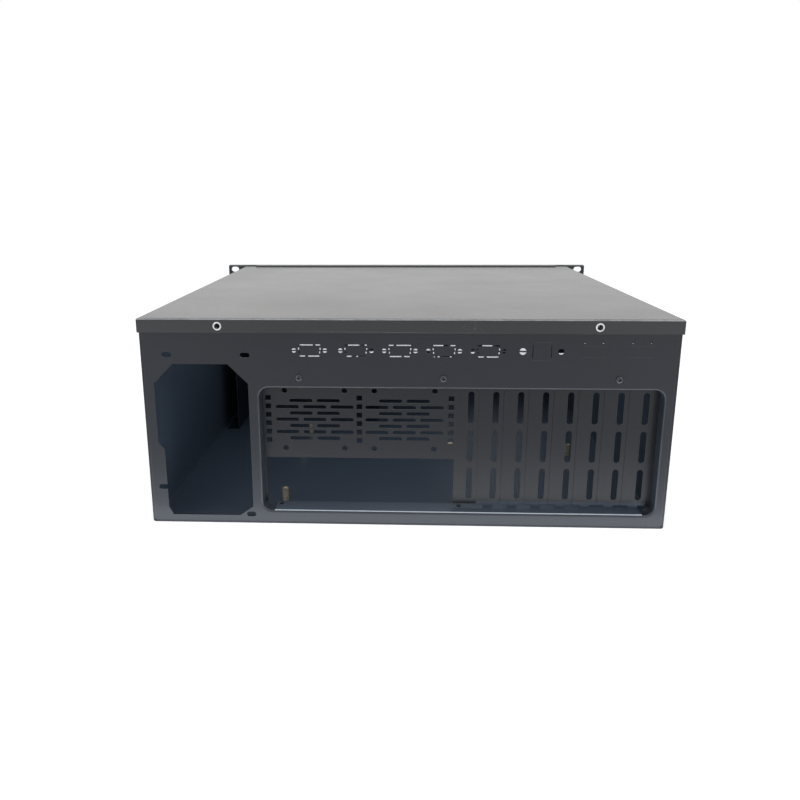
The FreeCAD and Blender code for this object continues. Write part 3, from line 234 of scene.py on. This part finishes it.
# ------------------------------------------------------------------- materials
def powder_coat(name, colour, rough=0.34, relief=0.55, gloss=0.32, **tints):
    """Fine-textured satin powder coat. tints holds a colour for each mask that the coat uses."""
    made, nodes, place, shader = material(name)
    peel = nodes.noise(place, 900.0, 3.0, 0.6)
    grain = nodes.noise(place, 3800.0, 2.0, 0.6)
    cloud = nodes.noise(place, 9.0, 4.0, 0.6)
    tint = nodes.mix(nodes.vary(cloud), shade(colour, 0.9), colour)
    for part, mask in TINT_MASKS.items():
        if part in tints:
            tint = nodes.mix(mask(nodes, place), tint, tints[part])
    height = nodes.math("ADD", peel, nodes.times(grain, 0.4))
    finish_surface(nodes, shader, Base_Color=tint, Specular_IOR_Level=gloss,
                   Roughness=nodes.math("ADD", nodes.vary(peel, -0.02, 0.02),
                                        nodes.vary(cloud, rough - 0.02, rough + 0.02)),
                   Normal=nodes.bump(height, 0.05 * MM, relief))
    return made


def metal(name, colour, rough, stretch, scale=900.0, metallic=1.0):
    """Plated or turned metal with fine directional marks."""
    made, nodes, place, shader = material(name)
    lines = nodes.noise(nodes.stretched(place, stretch), scale, 3.0, 0.6)
    cloud = nodes.noise(place, 120.0, 4.0, 0.6)
    finish_surface(nodes, shader, Metallic=metallic,
                   Base_Color=nodes.mix(nodes.span(cloud, 0.35, 0.65), shade(colour, 0.72), colour),
                   Roughness=nodes.vary(lines, rough - 0.07, rough + 0.09),
                   Normal=nodes.bump(lines, 0.02 * MM, 0.5))
    return made


def plastic(name, colour, rough, scale=1500.0):
    """Moulded plastic with a fine spark-eroded grain."""
    made, nodes, place, shader = material(name)
    grain = nodes.noise(place, scale, 3.0, 0.6)
    cloud = nodes.noise(place, 14.0, 3.0, 0.6)
    finish_surface(nodes, shader, Base_Color=nodes.mix(cloud, colour, shade(colour, 1.25)),
                   Roughness=nodes.vary(grain, rough - 0.05, rough + 0.06),
                   Normal=nodes.bump(grain, 0.04 * MM, 0.6))
    return made


def bare_cut(name):
    """Raw sheared steel, left where a knock-out's outline was cut after coating."""
    made, nodes, place, shader = material(name)
    speck = nodes.noise(place, 1400.0, 3.0, 0.7)
    finish_surface(nodes, shader, Metallic=0.25, Roughness=nodes.vary(speck, 0.35, 0.5),
                   Base_Color=nodes.mix(nodes.span(speck, 0.35, 0.6), grey(0.50), grey(0.86, 1.03)),
                   Normal=nodes.bump(speck, 0.04 * MM, 0.6))
    return made


def lens(name):
    """Clear, slightly hazy plastic."""
    made, nodes, place, shader = material(name)
    haze = nodes.noise(place, 260.0, 2.0, 0.5)
    finish_surface(nodes, shader, Transmission_Weight=0.6,
                   Base_Color=nodes.mix(haze, (0.62, 0.68, 0.70, 1.0), (0.80, 0.84, 0.86, 1.0)),
                   Roughness=nodes.vary(haze, 0.10, 0.22))
    return made


BLACK = (0.0150, 0.0172, 0.0225, 1.0)
DEEP_BLACK = (0.0070, 0.0078, 0.0105, 1.0)
# Pale grey of the painted highlight along the I/O panel's and slot covers' bends.
BEND_HIGHLIGHT = (0.060, 0.064, 0.070, 1.0)
COAT = powder_coat("black_coat", BLACK)
# Rear wall: painted light, lighter and bluer, on its inner faces, and a painted highlight along its
# bends.
FOLD_COAT = powder_coat("black_coat_folded", BLACK, inner=(0.024, 0.030, 0.040, 1.0),
                        bend=(0.042, 0.045, 0.050, 1.0))
# I/O panel and slot covers: a painted highlight along their bends, and painted light, lighter and
# bluer, on the covers' tongues in place of their shade.
PANEL_COAT = powder_coat("black_coat_panel", DEEP_BLACK, bend=BEND_HIGHLIGHT)
COVER_COAT = powder_coat("black_coat_cover", DEEP_BLACK, bend=BEND_HIGHLIGHT,
                         foot=(0.080, 0.098, 0.130, 1.0))
# Tongue bar: painted light, lighter and bluer, on its faces inside the rear wall.
BAR_COAT = powder_coat("black_coat_bar", BLACK, inner=(0.068, 0.085, 0.114, 1.0),
                       edge=(0.20, 0.215, 0.23, 1.0))
# Lid: a painted highlight along its rear bend and painted light on its top face, besides real scuffs
# on the skirt.
LID_COAT = powder_coat("black_coat_lid", (0.0165, 0.0165, 0.0195, 1.0), 0.24, 0.30, 0.5,
                       scuff=(0.30, 0.30, 0.31, 1.0), bend=(0.42, 0.43, 0.44, 1.0),
                       top=(0.031, 0.031, 0.029, 1.0))
# Front panel and rail: a painted highlight on their backs above the lid.
FRONT_COAT = powder_coat("black_coat_front", BLACK, rim=grey(0.18))
# Inside of the case: painted light, lighter and bluer, on the faces that look into it.
INNER_COAT = powder_coat("black_coat_inside", BLACK, 0.42, inner=(0.050, 0.066, 0.092, 1.0))
CAGE_COAT = powder_coat("black_coat_cage", BLACK, 0.42, inner=(0.014, 0.018, 0.026, 1.0))
LINE_COAT = powder_coat("black_coat_line", (0.040, 0.042, 0.045, 1.0))
SCREW_COAT = metal("black_screw", (0.075, 0.075, 0.082, 1.0), 0.24, (1.0, 1.0, 1.0), 1400.0)
NICKEL = metal("nickel", grey(0.66), 0.30, (1.0, 0.2, 1.0), 1500.0)
STEEL = metal("dark_steel", (0.30, 0.30, 0.31, 1.0), 0.34, (1.0, 0.15, 1.0))
ZINC = metal("zinc", (0.66, 0.67, 0.68, 1.0), 0.32, (1.0, 0.15, 1.0))
BRASS = metal("brass", (0.86, 0.74, 0.50, 1.0), 0.22, (0.3, 0.3, 3.0), metallic=0.6)
BLANK_PLASTIC = plastic("black_plastic", (0.016, 0.016, 0.018, 1.0), 0.48)
SOCKET_PLASTIC = plastic("socket_plastic", (0.012, 0.012, 0.013, 1.0), 0.40, 2200.0)
CUT_EDGE = bare_cut("bare_cut_edge")
LENS = lens("clear_light")

SLOT_LOOKS = {"black_coat": COAT, "black_plastic": BLANK_PLASTIC, "zinc_steel": ZINC,
              "black_screw": SCREW_COAT, "brass": BRASS, "clear_light": LENS,
              "socket_plastic": SOCKET_PLASTIC}
NODE_LOOKS = {"top_lid": LID_COAT, "chassis_body": INNER_COAT, "drive_cage": CAGE_COAT,
              "card_beam": INNER_COAT, "front_panel": FRONT_COAT, "front_rail": FRONT_COAT,
              "control_bracket": INNER_COAT, "rear_wall": FOLD_COAT, "io_panel": PANEL_COAT,
              "tongue_bar": BAR_COAT, "lid_rivet_nuts": NICKEL}
NODE_LOOKS.update({node: COVER_COAT for node in frame["nodes"]
                   if node.startswith("slot_cover_") and node != "slot_cover_screws"})


def dress_solids():
    """Give each CAD node its own look, or the look of its material slot."""
    slots = {part["node"]: part["material_slot"] for part in frame["record"]["subparts"]}
    for node, thing in frame["nodes"].items():
        look = NODE_LOOKS.get(node, SLOT_LOOKS[slots[node]])
        if not thing.material_slots:
            thing.data.materials.append(look)
        for material_slot in thing.material_slots:
            material_slot.material = look


# --------------------------------------------------------------- mesh helpers
def piece(name, mesh, look, smooth=True):
    """Show a mesh as a named piece that rides on the case."""
    thing = bpy.data.objects.new(name, mesh)
    bpy.context.collection.objects.link(thing)
    mesh.materials.clear()
    mesh.materials.append(look)
    if smooth:
        mesh.shade_smooth()
        mesh.set_sharp_from_angle(angle=math.radians(32))
    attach(thing, "case")
    return thing


def finished(builder, name):
    """Turn a bmesh into a mesh with its faces outward."""
    bmesh.ops.recalc_face_normals(builder, faces=builder.faces)
    mesh = bpy.data.meshes.new(name)
    builder.to_mesh(mesh)
    builder.free()
    return mesh


def lathe(builder, profile, where, steps):
    """Turn (radius, height) points about the matrix's Z axis; zero radius closes an end."""
    rings = []
    for radius, height in profile:
        if radius == 0:
            rings.append([builder.verts.new(where @ Vector((0, 0, height)))])
            continue
        turns = (2 * math.pi * i / steps for i in range(steps))
        rings.append([builder.verts.new(where @ Vector((radius * math.cos(turn),
                                                        radius * math.sin(turn), height)))
                      for turn in turns])
    for low, high in zip(rings, rings[1:]):
        for i in range(steps):
            corners = [low[i % len(low)], low[(i + 1) % len(low)],
                       high[(i + 1) % len(high)], high[i % len(high)]]
            unique = list(dict.fromkeys(corners))
            if len(unique) > 2:
                builder.faces.new(unique)


def block(builder, low, high):
    """An axis-parallel box between two corners."""
    middle = [(a + b) / 2 for a, b in zip(low, high)]
    size = [b - a for a, b in zip(low, high)]
    bmesh.ops.create_cube(builder, size=1.0,
                          matrix=Matrix.Translation(middle) @ Matrix.Diagonal((*size, 1.0)))


def facing(direction):
    """Rotation that turns +Z to the direction."""
    return Vector(direction).to_track_quat("Z", "Y").to_matrix().to_4x4()


def solid_boxes(node):
    """Low and high corner of each separate solid of a CAD node."""
    builder = bmesh.new()
    builder.from_mesh(frame["nodes"][node].data)
    bmesh.ops.remove_doubles(builder, verts=builder.verts, dist=0.001 * MM)
    boxes, seen = [], set()
    for start in builder.verts:
        if start in seen:
            continue
        group, waiting = [], [start]
        seen.add(start)
        while waiting:
            vert = waiting.pop()
            group.append(vert.co)
            for link in vert.link_edges:
                other = link.other_vert(vert)
                if other not in seen:
                    seen.add(other)
                    waiting.append(other)
        boxes.append(([min(co[i] for co in group) for i in range(3)],
                      [max(co[i] for co in group) for i in range(3)]))
    builder.free()
    return boxes


# ------------------------------------------------------------ pan head screws
# The cross recess, as shares of the head's radius, and of its own reach at foot and mouth.
CROSS_REACH, CROSS_WIDTH, CROSS_DEPTH = 0.62, 0.15, 0.62
CROSS_FOOT, CROSS_MOUTH = 0.35, 1.08
CROSS_CLEAR = 0.2 * MM              # how far the cutter stands above the head
# The dome and the rim below it as shares of the head's height, and the rim's foot of its radius.
DOME, RIM, RIM_FOOT = 0.55, 0.12, 0.97
# The tapered tip as shares of the shank's length and radius.
TIP_LENGTH, TIP_RADIUS = 0.07, 0.8
SCREW_SHANK = 1.5 * MM
DOME_STEPS, HEAD_STEPS = 8, 40
BOX_FACES = ((0, 3, 2, 1), (4, 5, 6, 7), (0, 1, 5, 4), (1, 2, 6, 5), (2, 3, 7, 6), (3, 0, 4, 7))


def cut_cross(mesh, name, centres, direction, radius, top, turns):
    """Cut a tapered cross recess into each head of the mesh."""
    builder = bmesh.new()
    reach, width, floor = radius * CROSS_REACH, radius * CROSS_WIDTH, top - radius * CROSS_DEPTH
    for centre, turn in zip(centres, turns):
        where = Matrix.Translation(centre) @ facing(direction) @ Matrix.Rotation(turn, 4, "Z")
        for spin in (0.0, math.pi / 2):
            arm = where @ Matrix.Rotation(spin, 4, "Z")
            corners = [builder.verts.new(arm @ Vector((x * reach * grow, y * width, height)))
                       for height, grow in ((floor, CROSS_FOOT), (top + CROSS_CLEAR, CROSS_MOUTH))
                       for x, y in ((-1, -1), (1, -1), (1, 1), (-1, 1))]
            for face in BOX_FACES:
                builder.faces.new([corners[i] for i in face])
    tool = bpy.data.objects.new(name + "_tool", finished(builder, name + "_tool"))
    target = bpy.data.objects.new(name + "_target", mesh)
    for thing in (tool, target):
        bpy.context.collection.objects.link(thing)
    change = target.modifiers.new("recess", "BOOLEAN")
    change.operation = "DIFFERENCE"
    change.solver = "EXACT"
    change.use_self = True
    change.object = tool
    shown = bpy.context.evaluated_depsgraph_get()
    result = bpy.data.meshes.new_from_object(target.evaluated_get(shown))
    bpy.data.objects.remove(target)
    bpy.data.objects.remove(tool)
    return result


def pan_heads(name, node, centres, direction, radius, height, shank, length):
    """Domed pan head screws with cross recesses, in place of a node's plain ones."""
    chance = random.Random(name)
    builder = bmesh.new()
    dome = [(radius * math.sin(t), height * (1 - DOME + DOME * math.cos(t)))
            for t in (math.radians(90 * i / DOME_STEPS) for i in range(DOME_STEPS + 1))]
    dome[0] = (0.0, height)
    profile = dome + [(radius, height * RIM), (radius * RIM_FOOT, 0.0)]
    if length:
        profile += [(shank, 0.0), (shank, -length * (1 - TIP_LENGTH)),
                    (shank * TIP_RADIUS, -length), (0.0, -length)]
    else:
        profile += [(0.0, 0.0)]
    for centre in centres:
        lathe(builder, profile, Matrix.Translation(centre) @ facing(direction), HEAD_STEPS)
    turns = [chance.uniform(0, math.pi / 2) for _ in centres]
    mesh = cut_cross(finished(builder, name), name, centres, direction, radius, height, turns)
    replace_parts(piece(name, mesh, SCREW_COAT), node)


def screws_along_y(name, node, face, outward):
    """Replace screws that run along Y; the heads lie on the face, outward of it by +1 or -1."""
    boxes = solid_boxes(node)
    centres = [((low[0] + high[0]) / 2, face, (low[2] + high[2]) / 2) for low, high in boxes]
    low, high = boxes[-1]
    height, length = high[1] - face, face - low[1]
    if outward < 0:
        height, length = length, height
    pan_heads(name, node, centres, (0, outward, 0), (high[0] - low[0]) / 2, height,
              SCREW_SHANK, length)


def screws_on_top(name, node, seat, shank):
    """Replace screws that stand up from a seat; no shank shows where it is zero."""
    boxes = solid_boxes(node)
    centres = [((low[0] + high[0]) / 2, (low[1] + high[1]) / 2, seat) for low, high in boxes]
    low, high = boxes[-1]
    pan_heads(name, node, centres, (0, 0, 1), (high[0] - low[0]) / 2, high[2] - seat, shank,
              seat - low[2] if shank else 0)


# --------------------------------------------------- threads in nuts and posts
def thread(name, centres, direction, radius, pitch, turns, start, look):
    """A raised helix inside each bore, running inwards from start."""
    builder = bmesh.new()
    steps, half_foot, depth = 24, pitch * 0.42, pitch * 0.3
    for centre in centres:
        where = Matrix.Translation(centre) @ facing(direction)
        rows = []
        for i in range(turns * steps + 1):
            angle = 2 * math.pi * i / steps
            height = start - pitch * i / steps
            across = Vector((math.cos(angle), math.sin(angle), 0))
            rows.append([builder.verts.new(where @ (across * reach + Vector((0, 0, height + rise))))
                         for reach, rise in ((radius, half_foot), (radius - depth, 0.0),
                                             (radius, -half_foot))])
        for first, second in zip(rows, rows[1:]):
            for i in range(3):
                j = (i + 1) % 3
                builder.faces.new((first[i], first[j], second[j], second[i]))
        builder.faces.new(rows[0])
        builder.faces.new(reversed(rows[-1]))
    piece(name, finished(builder, name), look)


def nut_threads():
    mouths = [((low[0] + high[0]) / 2, high[1], (low[2] + high[2]) / 2)
              for low, high in solid_boxes("lid_rivet_nuts")]
    thread("nut_threads", mouths, (0, 1, 0), radius=2.29 * MM, pitch=0.8 * MM, turns=9,
           start=-0.9 * MM, look=STEEL)


def post_threads():
    mouths = [((low[0] + high[0]) / 2, (low[1] + high[1]) / 2, high[2])
              for low, high in solid_boxes("board_posts")]
    thread("post_threads", mouths, (0, 0, 1), radius=1.24 * MM, pitch=0.5 * MM, turns=12,
           start=-0.5 * MM, look=BRASS)


# ------------------------------------------- bare metal in the knock-outs, in mm
KNOCKOUT_LEVEL = 150.2
SLIT, SIDE_SLIT, SIDE_PITCH, FINE_SLIT = 0.84, 1.5, 3.0, 0.5
FILL_LAP = 0.01                     # how far the fill runs over a fine slit's edges
PORT_RISE, PORT_HALF, PORT_TAPER, PORT_SCREW = 4.55, 8.5, 0.2, 12.5
ARC_STEPS = 16

# Each serial port: its place, the bare spans of its top and bottom slits, and which of the
# side slits and screw half-moons on its +X and -X side are bare.
PORT_METAL = (
    (77.7, ((-8.8, -5.1), (-2.8, 7.7)), ((-7.9, 0.9), (3.5, 7.7)), (UPPER, BOTH), (BOTH, BOTH)),
    (40.3, ((-8.8, -7.2), (-2.8, 6.2)), ((-1.8, -0.4), (3.5, 7.2)), (UPPER, BOTH), (BOTH, LOWER)),
    (5.1, ((-8.8, 2.7), (5.0, 8.8)), ((-7.8, -3.5), (-1.3, 8.0)), (BOTH, BOTH), (BOTH, BOTH)),
    (-30.1, ((-8.8, -5.1), (0.7, 8.7)), ((-6.0, -4.8), (3.5, 5.0), (7.3, 8.0)), (BOTH, BOTH),
     (UPPER, BOTH)),
    (-65.3, ((-2.8, 5.0),), ((-8.0, 1.2), (3.6, 8.0)), ((), BOTH), (LOWER, ())),
)
# The round knock-outs: radius of the bare metal, and how far from its centre it starts.
SCREW_MOON = (1.85, 0.62)
ANTENNA_PLACE, ANTENNA_MOON = -92.4, (2.7, 0.65)
LOCK_PLACE, LOCK_MOON = -122.5, (2.38, 1.15)
JACK_PLACE, JACK_HALF = -107.5, 7.3
USB_PLACES, USB_HALF, USB_RISE = (-147.8, -185.0), 9.0, 4.5
USB_DOT_SIDE, USB_DOT_RISE = 7.2, 7.4
USB_GLINT_HALF, USB_GLINT_DROP, USB_GLINT_HEIGHT = 0.5, 0.55, 0.4


def bare_metal():
    """Bare cut edges and tabs of the knock-outs, just below the coated surface."""
    builder = bmesh.new()
    deep, shallow = REAR - 0.60 * MM, REAR - 0.12 * MM

    def dash(x_low, x_high, z, height):
        block(builder, (x_low * MM, deep, (z - height / 2) * MM),
              (x_high * MM, shallow, (z + height / 2) * MM))

    def moon(x, shape, sign):
        """The part of a disc that lies beyond a chord, above it for +1 and below it for -1."""
        radius, chord = shape
        start = math.asin(chord / radius)
        outline = [Vector(((x + radius * math.cos(turn)) * MM, 0,
                           (KNOCKOUT_LEVEL + radius * math.sin(turn) * sign) * MM))
                   for turn in (start + (math.pi - 2 * start) * i / ARC_STEPS
                                for i in range(ARC_STEPS + 1))]
        back, front = ([builder.verts.new(point + Vector((0, y, 0))) for point in outline]
                       for y in (deep, shallow))
        builder.faces.new(back)
        builder.faces.new(front)
        for i in range(len(outline)):
            j = (i + 1) % len(outline)
            builder.faces.new((back[i], back[j], front[j], front[i]))

    for place, top, low, sides, moons in PORT_METAL:
        for spans, rise in ((top, PORT_RISE), (low, -PORT_RISE)):
            for x_low, x_high in spans:
                dash(place + x_low, place + x_high, KNOCKOUT_LEVEL + rise, SLIT)
        for side, slits, halves in zip(BOTH, sides, moons):
            for sign in slits:
                x = place + (PORT_HALF + PORT_TAPER * sign) * side
                dash(x - SLIT / 2, x + SLIT / 2, KNOCKOUT_LEVEL + SIDE_PITCH / 2 * sign, SIDE_SLIT)
            for sign in halves:
                moon(place + PORT_SCREW * side, SCREW_MOON, sign)
    for sign in BOTH:
        moon(ANTENNA_PLACE, ANTENNA_MOON, sign)
    moon(LOCK_PLACE, LOCK_MOON, -1)
    # Small pale dashes under each USB knock-out's dots: painted glints.
    for place in USB_PLACES:
        for side in BOTH:
            x = place + USB_DOT_SIDE * side
            dash(x - USB_GLINT_HALF, x + USB_GLINT_HALF,
                 KNOCKOUT_LEVEL + USB_DOT_RISE - USB_GLINT_DROP, USB_GLINT_HEIGHT)
    piece("knockout_metal", finished(builder, "knockout_metal"), CUT_EDGE,
          smooth=False)


def coat_fill():
    """Thin coat that fills the coined lines of the small knock-outs."""
    builder = bmesh.new()
    deep, flush = REAR - 1.1 * MM, REAR - 0.06 * MM
    half = FINE_SLIT / 2 + FILL_LAP
    knockouts = [(JACK_PLACE, JACK_HALF, JACK_HALF)]
    knockouts += [(place, USB_HALF, USB_RISE) for place in USB_PLACES]
    for place, wide, rise in knockouts:
        for sign in BOTH:
            z = KNOCKOUT_LEVEL + rise * sign
            block(builder, ((place - wide) * MM, deep, (z - half) * MM),
                  ((place + wide) * MM, flush, (z + half) * MM))
    piece("coined_lines", finished(builder, "coined_lines"), LINE_COAT,
          smooth=False)


def seam_coat():
    """Coat bridging the seam where the rear wall's bends meet the body's sheet."""
    builder = bmesh.new()
    low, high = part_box("rear_wall")
    deep, flush, width = REAR - 1.2 * MM, REAR - 0.1 * MM, 1.2 * MM
    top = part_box("top_lid")[0][2]
    for side in BOTH:
        ends = sorted((high[0] * side, (high[0] - width) * side))
        block(builder, (ends[0], deep, low[2]), (ends[1], flush, top))
    block(builder, (low[0], deep, low[2]), (high[0], flush, low[2] + width))
    piece("seam_coat", finished(builder, "seam_coat"), COAT, smooth=False)


# ------------------------------------------------------------- stage and light
STUDIO = bpy.data.collections.new("studio")
bpy.context.scene.collection.children.link(STUDIO)
COOL, COOLER, PALE_COOL = (0.86, 0.92, 1.0), (0.84, 0.92, 1.0), (0.90, 0.95, 1.0)
INSIDE_COOL = (0.84, 0.93, 1.0)

# The camera stands behind the case. Places are in metres and angles in radians.
EYE = (0.00423, REAR + 0.59683, 0.27233)
YAW, ELEVATION, ROLL = 0.04599, 0.2547, -0.004127
FOCAL_LENGTH, SENSOR_WIDTH = 34.268, 36.0
SHIFT = (0.0416, -0.0109)


def background_shader(nodes, other, white):
    """White for the camera and for what mirrors or shows it, else the other shader."""
    path = nodes.add("ShaderNodeLightPath").outputs
    seen = nodes.math("MAXIMUM", path["Is Camera Ray"],
                      nodes.math("MAXIMUM", path["Is Glossy Ray"], path["Is Transmission Ray"]))
    return nodes.add("ShaderNodeMixShader", {0: seen, 1: other, 2: white}).outputs[0]


def make_floor():
    """Pale floor that keeps the shadow and looks white."""
    builder = bmesh.new()
    bmesh.ops.create_grid(builder, x_segments=1, y_segments=1, size=6.0)
    floor = bpy.data.objects.new("studio_floor", finished(builder, "studio_floor"))
    STUDIO.objects.link(floor)
    floor.location.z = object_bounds()[0][2] - 0.2 * MM
    made, nodes, place, shader = material("studio_floor")
    finish_surface(nodes, shader, Roughness=0.7,
                   Base_Color=nodes.mix(nodes.noise(place, 3.0), grey(0.80), grey(0.84)))
    floor.data.materials.append(made)
    white = nodes.add("ShaderNodeEmission", {"Color": grey(1.0), "Strength": 0.62})
    both = nodes.add("ShaderNodeAddShader", {0: shader.outputs[0], 1: white.outputs[0]})
    output = next(node for node in nodes.tree.nodes if node.type == "OUTPUT_MATERIAL")
    nodes.feed(output.inputs[0], background_shader(nodes, shader.outputs[0], both.outputs[0]))


def make_world():
    """Soft world light, a little stronger from the front, with a white background."""
    world = bpy.data.worlds.new("studio_world")
    bpy.context.scene.world = world
    world.use_nodes = True
    nodes = Nodes(world.node_tree)
    along = nodes.part(nodes.add("ShaderNodeTexCoord").outputs["Generated"], 1)
    dim = nodes.add("ShaderNodeBackground", {"Color": (0.97, 0.985, 1.0, 1.0),
                                             "Strength": nodes.span(along, -0.75, 0.55, 0.55, 0.22)})
    white = nodes.add("ShaderNodeBackground", {"Color": grey(1.0), "Strength": 1.0})
    nodes.add("ShaderNodeOutputWorld",
              {0: background_shader(nodes, dim.outputs[0], white.outputs[0])})


def area_light(name, place, target, size, power, colour=(1.0, 1.0, 1.0)):
    """A rectangular lamp at place, in metres, that points at the target."""
    light = bpy.data.lights.new(name, "AREA")
    light.shape = "RECTANGLE"
    light.size, light.size_y = size
    light.energy = power
    light.color = colour
    thing = bpy.data.objects.new(name, light)
    STUDIO.objects.link(thing)
    thing.location = place
    thing.rotation_euler = (Vector(target) - Vector(place)).to_track_quat("-Z", "Y").to_euler()
    thing.visible_camera = False


def table_light(name, x, behind, height, size, power, colour):
    """A lamp just above the floor behind the case that shines straight up."""
    area_light(name, (x, REAR + behind, height), (x, REAR + behind, 1.0), size, power, colour)


def make_lights():
    area_light("top_strip", (0.0, 0.35, 1.5), target=(0.0, 0.0, 0.1), size=(2.4, 0.35), power=9.0)
    for side in BOTH:
        area_light("rear_key", (1.15 * side, 1.45, 0.75), target=(0.15 * side, 0.2, 0.08),
                   size=(0.9, 0.9), power=4.5, colour=COOLER)
    table_light("bright_table", 0.0, behind=0.062, height=0.3 * MM, size=(0.66, 0.118),
                power=0.37, colour=COOL)
    table_light("table_edge", 0.0, behind=0.015, height=0.4 * MM, size=(0.66, 0.03),
                power=0.12, colour=COOL)
    for side in BOTH:
        table_light("side_card", 0.45 * side, behind=0.5, height=0.4 * MM, size=(0.3, 0.7),
                    power=0.34, colour=PALE_COOL)
    area_light("inside_fill", (0.0, 0.055, 0.155), target=(0.0, 0.055, 0.0), size=(0.42, 0.30),
               power=0.25, colour=INSIDE_COOL)


def make_camera():
    forward = Vector((math.sin(YAW) * math.cos(ELEVATION), -math.cos(YAW) * math.cos(ELEVATION),
                      -math.sin(ELEVATION)))
    right = forward.cross(Vector((0, 0, 1))).normalized()
    up = right.cross(forward)
    across = right * math.cos(ROLL) + up * math.sin(ROLL)
    upward = up * math.cos(ROLL) - right * math.sin(ROLL)
    data = bpy.data.cameras.new("camera")
    data.lens, data.sensor_width = FOCAL_LENGTH, SENSOR_WIDTH
    data.shift_x, data.shift_y = SHIFT
    camera = bpy.data.objects.new("camera", data)
    STUDIO.objects.link(camera)
    turn = Matrix((across, upward, -forward)).transposed()
    camera.matrix_world = Matrix.Translation(EYE) @ turn.to_4x4()
    bpy.context.scene.camera = camera


dress_solids()
screws_along_y("io_panel_pan_screws", "io_panel_screws", REAR, 1)
screws_along_y("front_pan_screws", "panel_screws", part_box("front_panel")[0][1], -1)
screws_on_top("slot_pan_screws", "slot_cover_screws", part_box("slot_cover_1")[1][2], SCREW_SHANK)
screws_on_top("cage_pan_screws", "cage_screws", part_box("cage_screws")[0][2], 0)
nut_threads()
post_threads()
bare_metal()
coat_fill()
seam_coat()
make_floor()
make_world()
make_camera()
make_lights()
bpy.context.scene.view_settings.view_transform = "Standard"
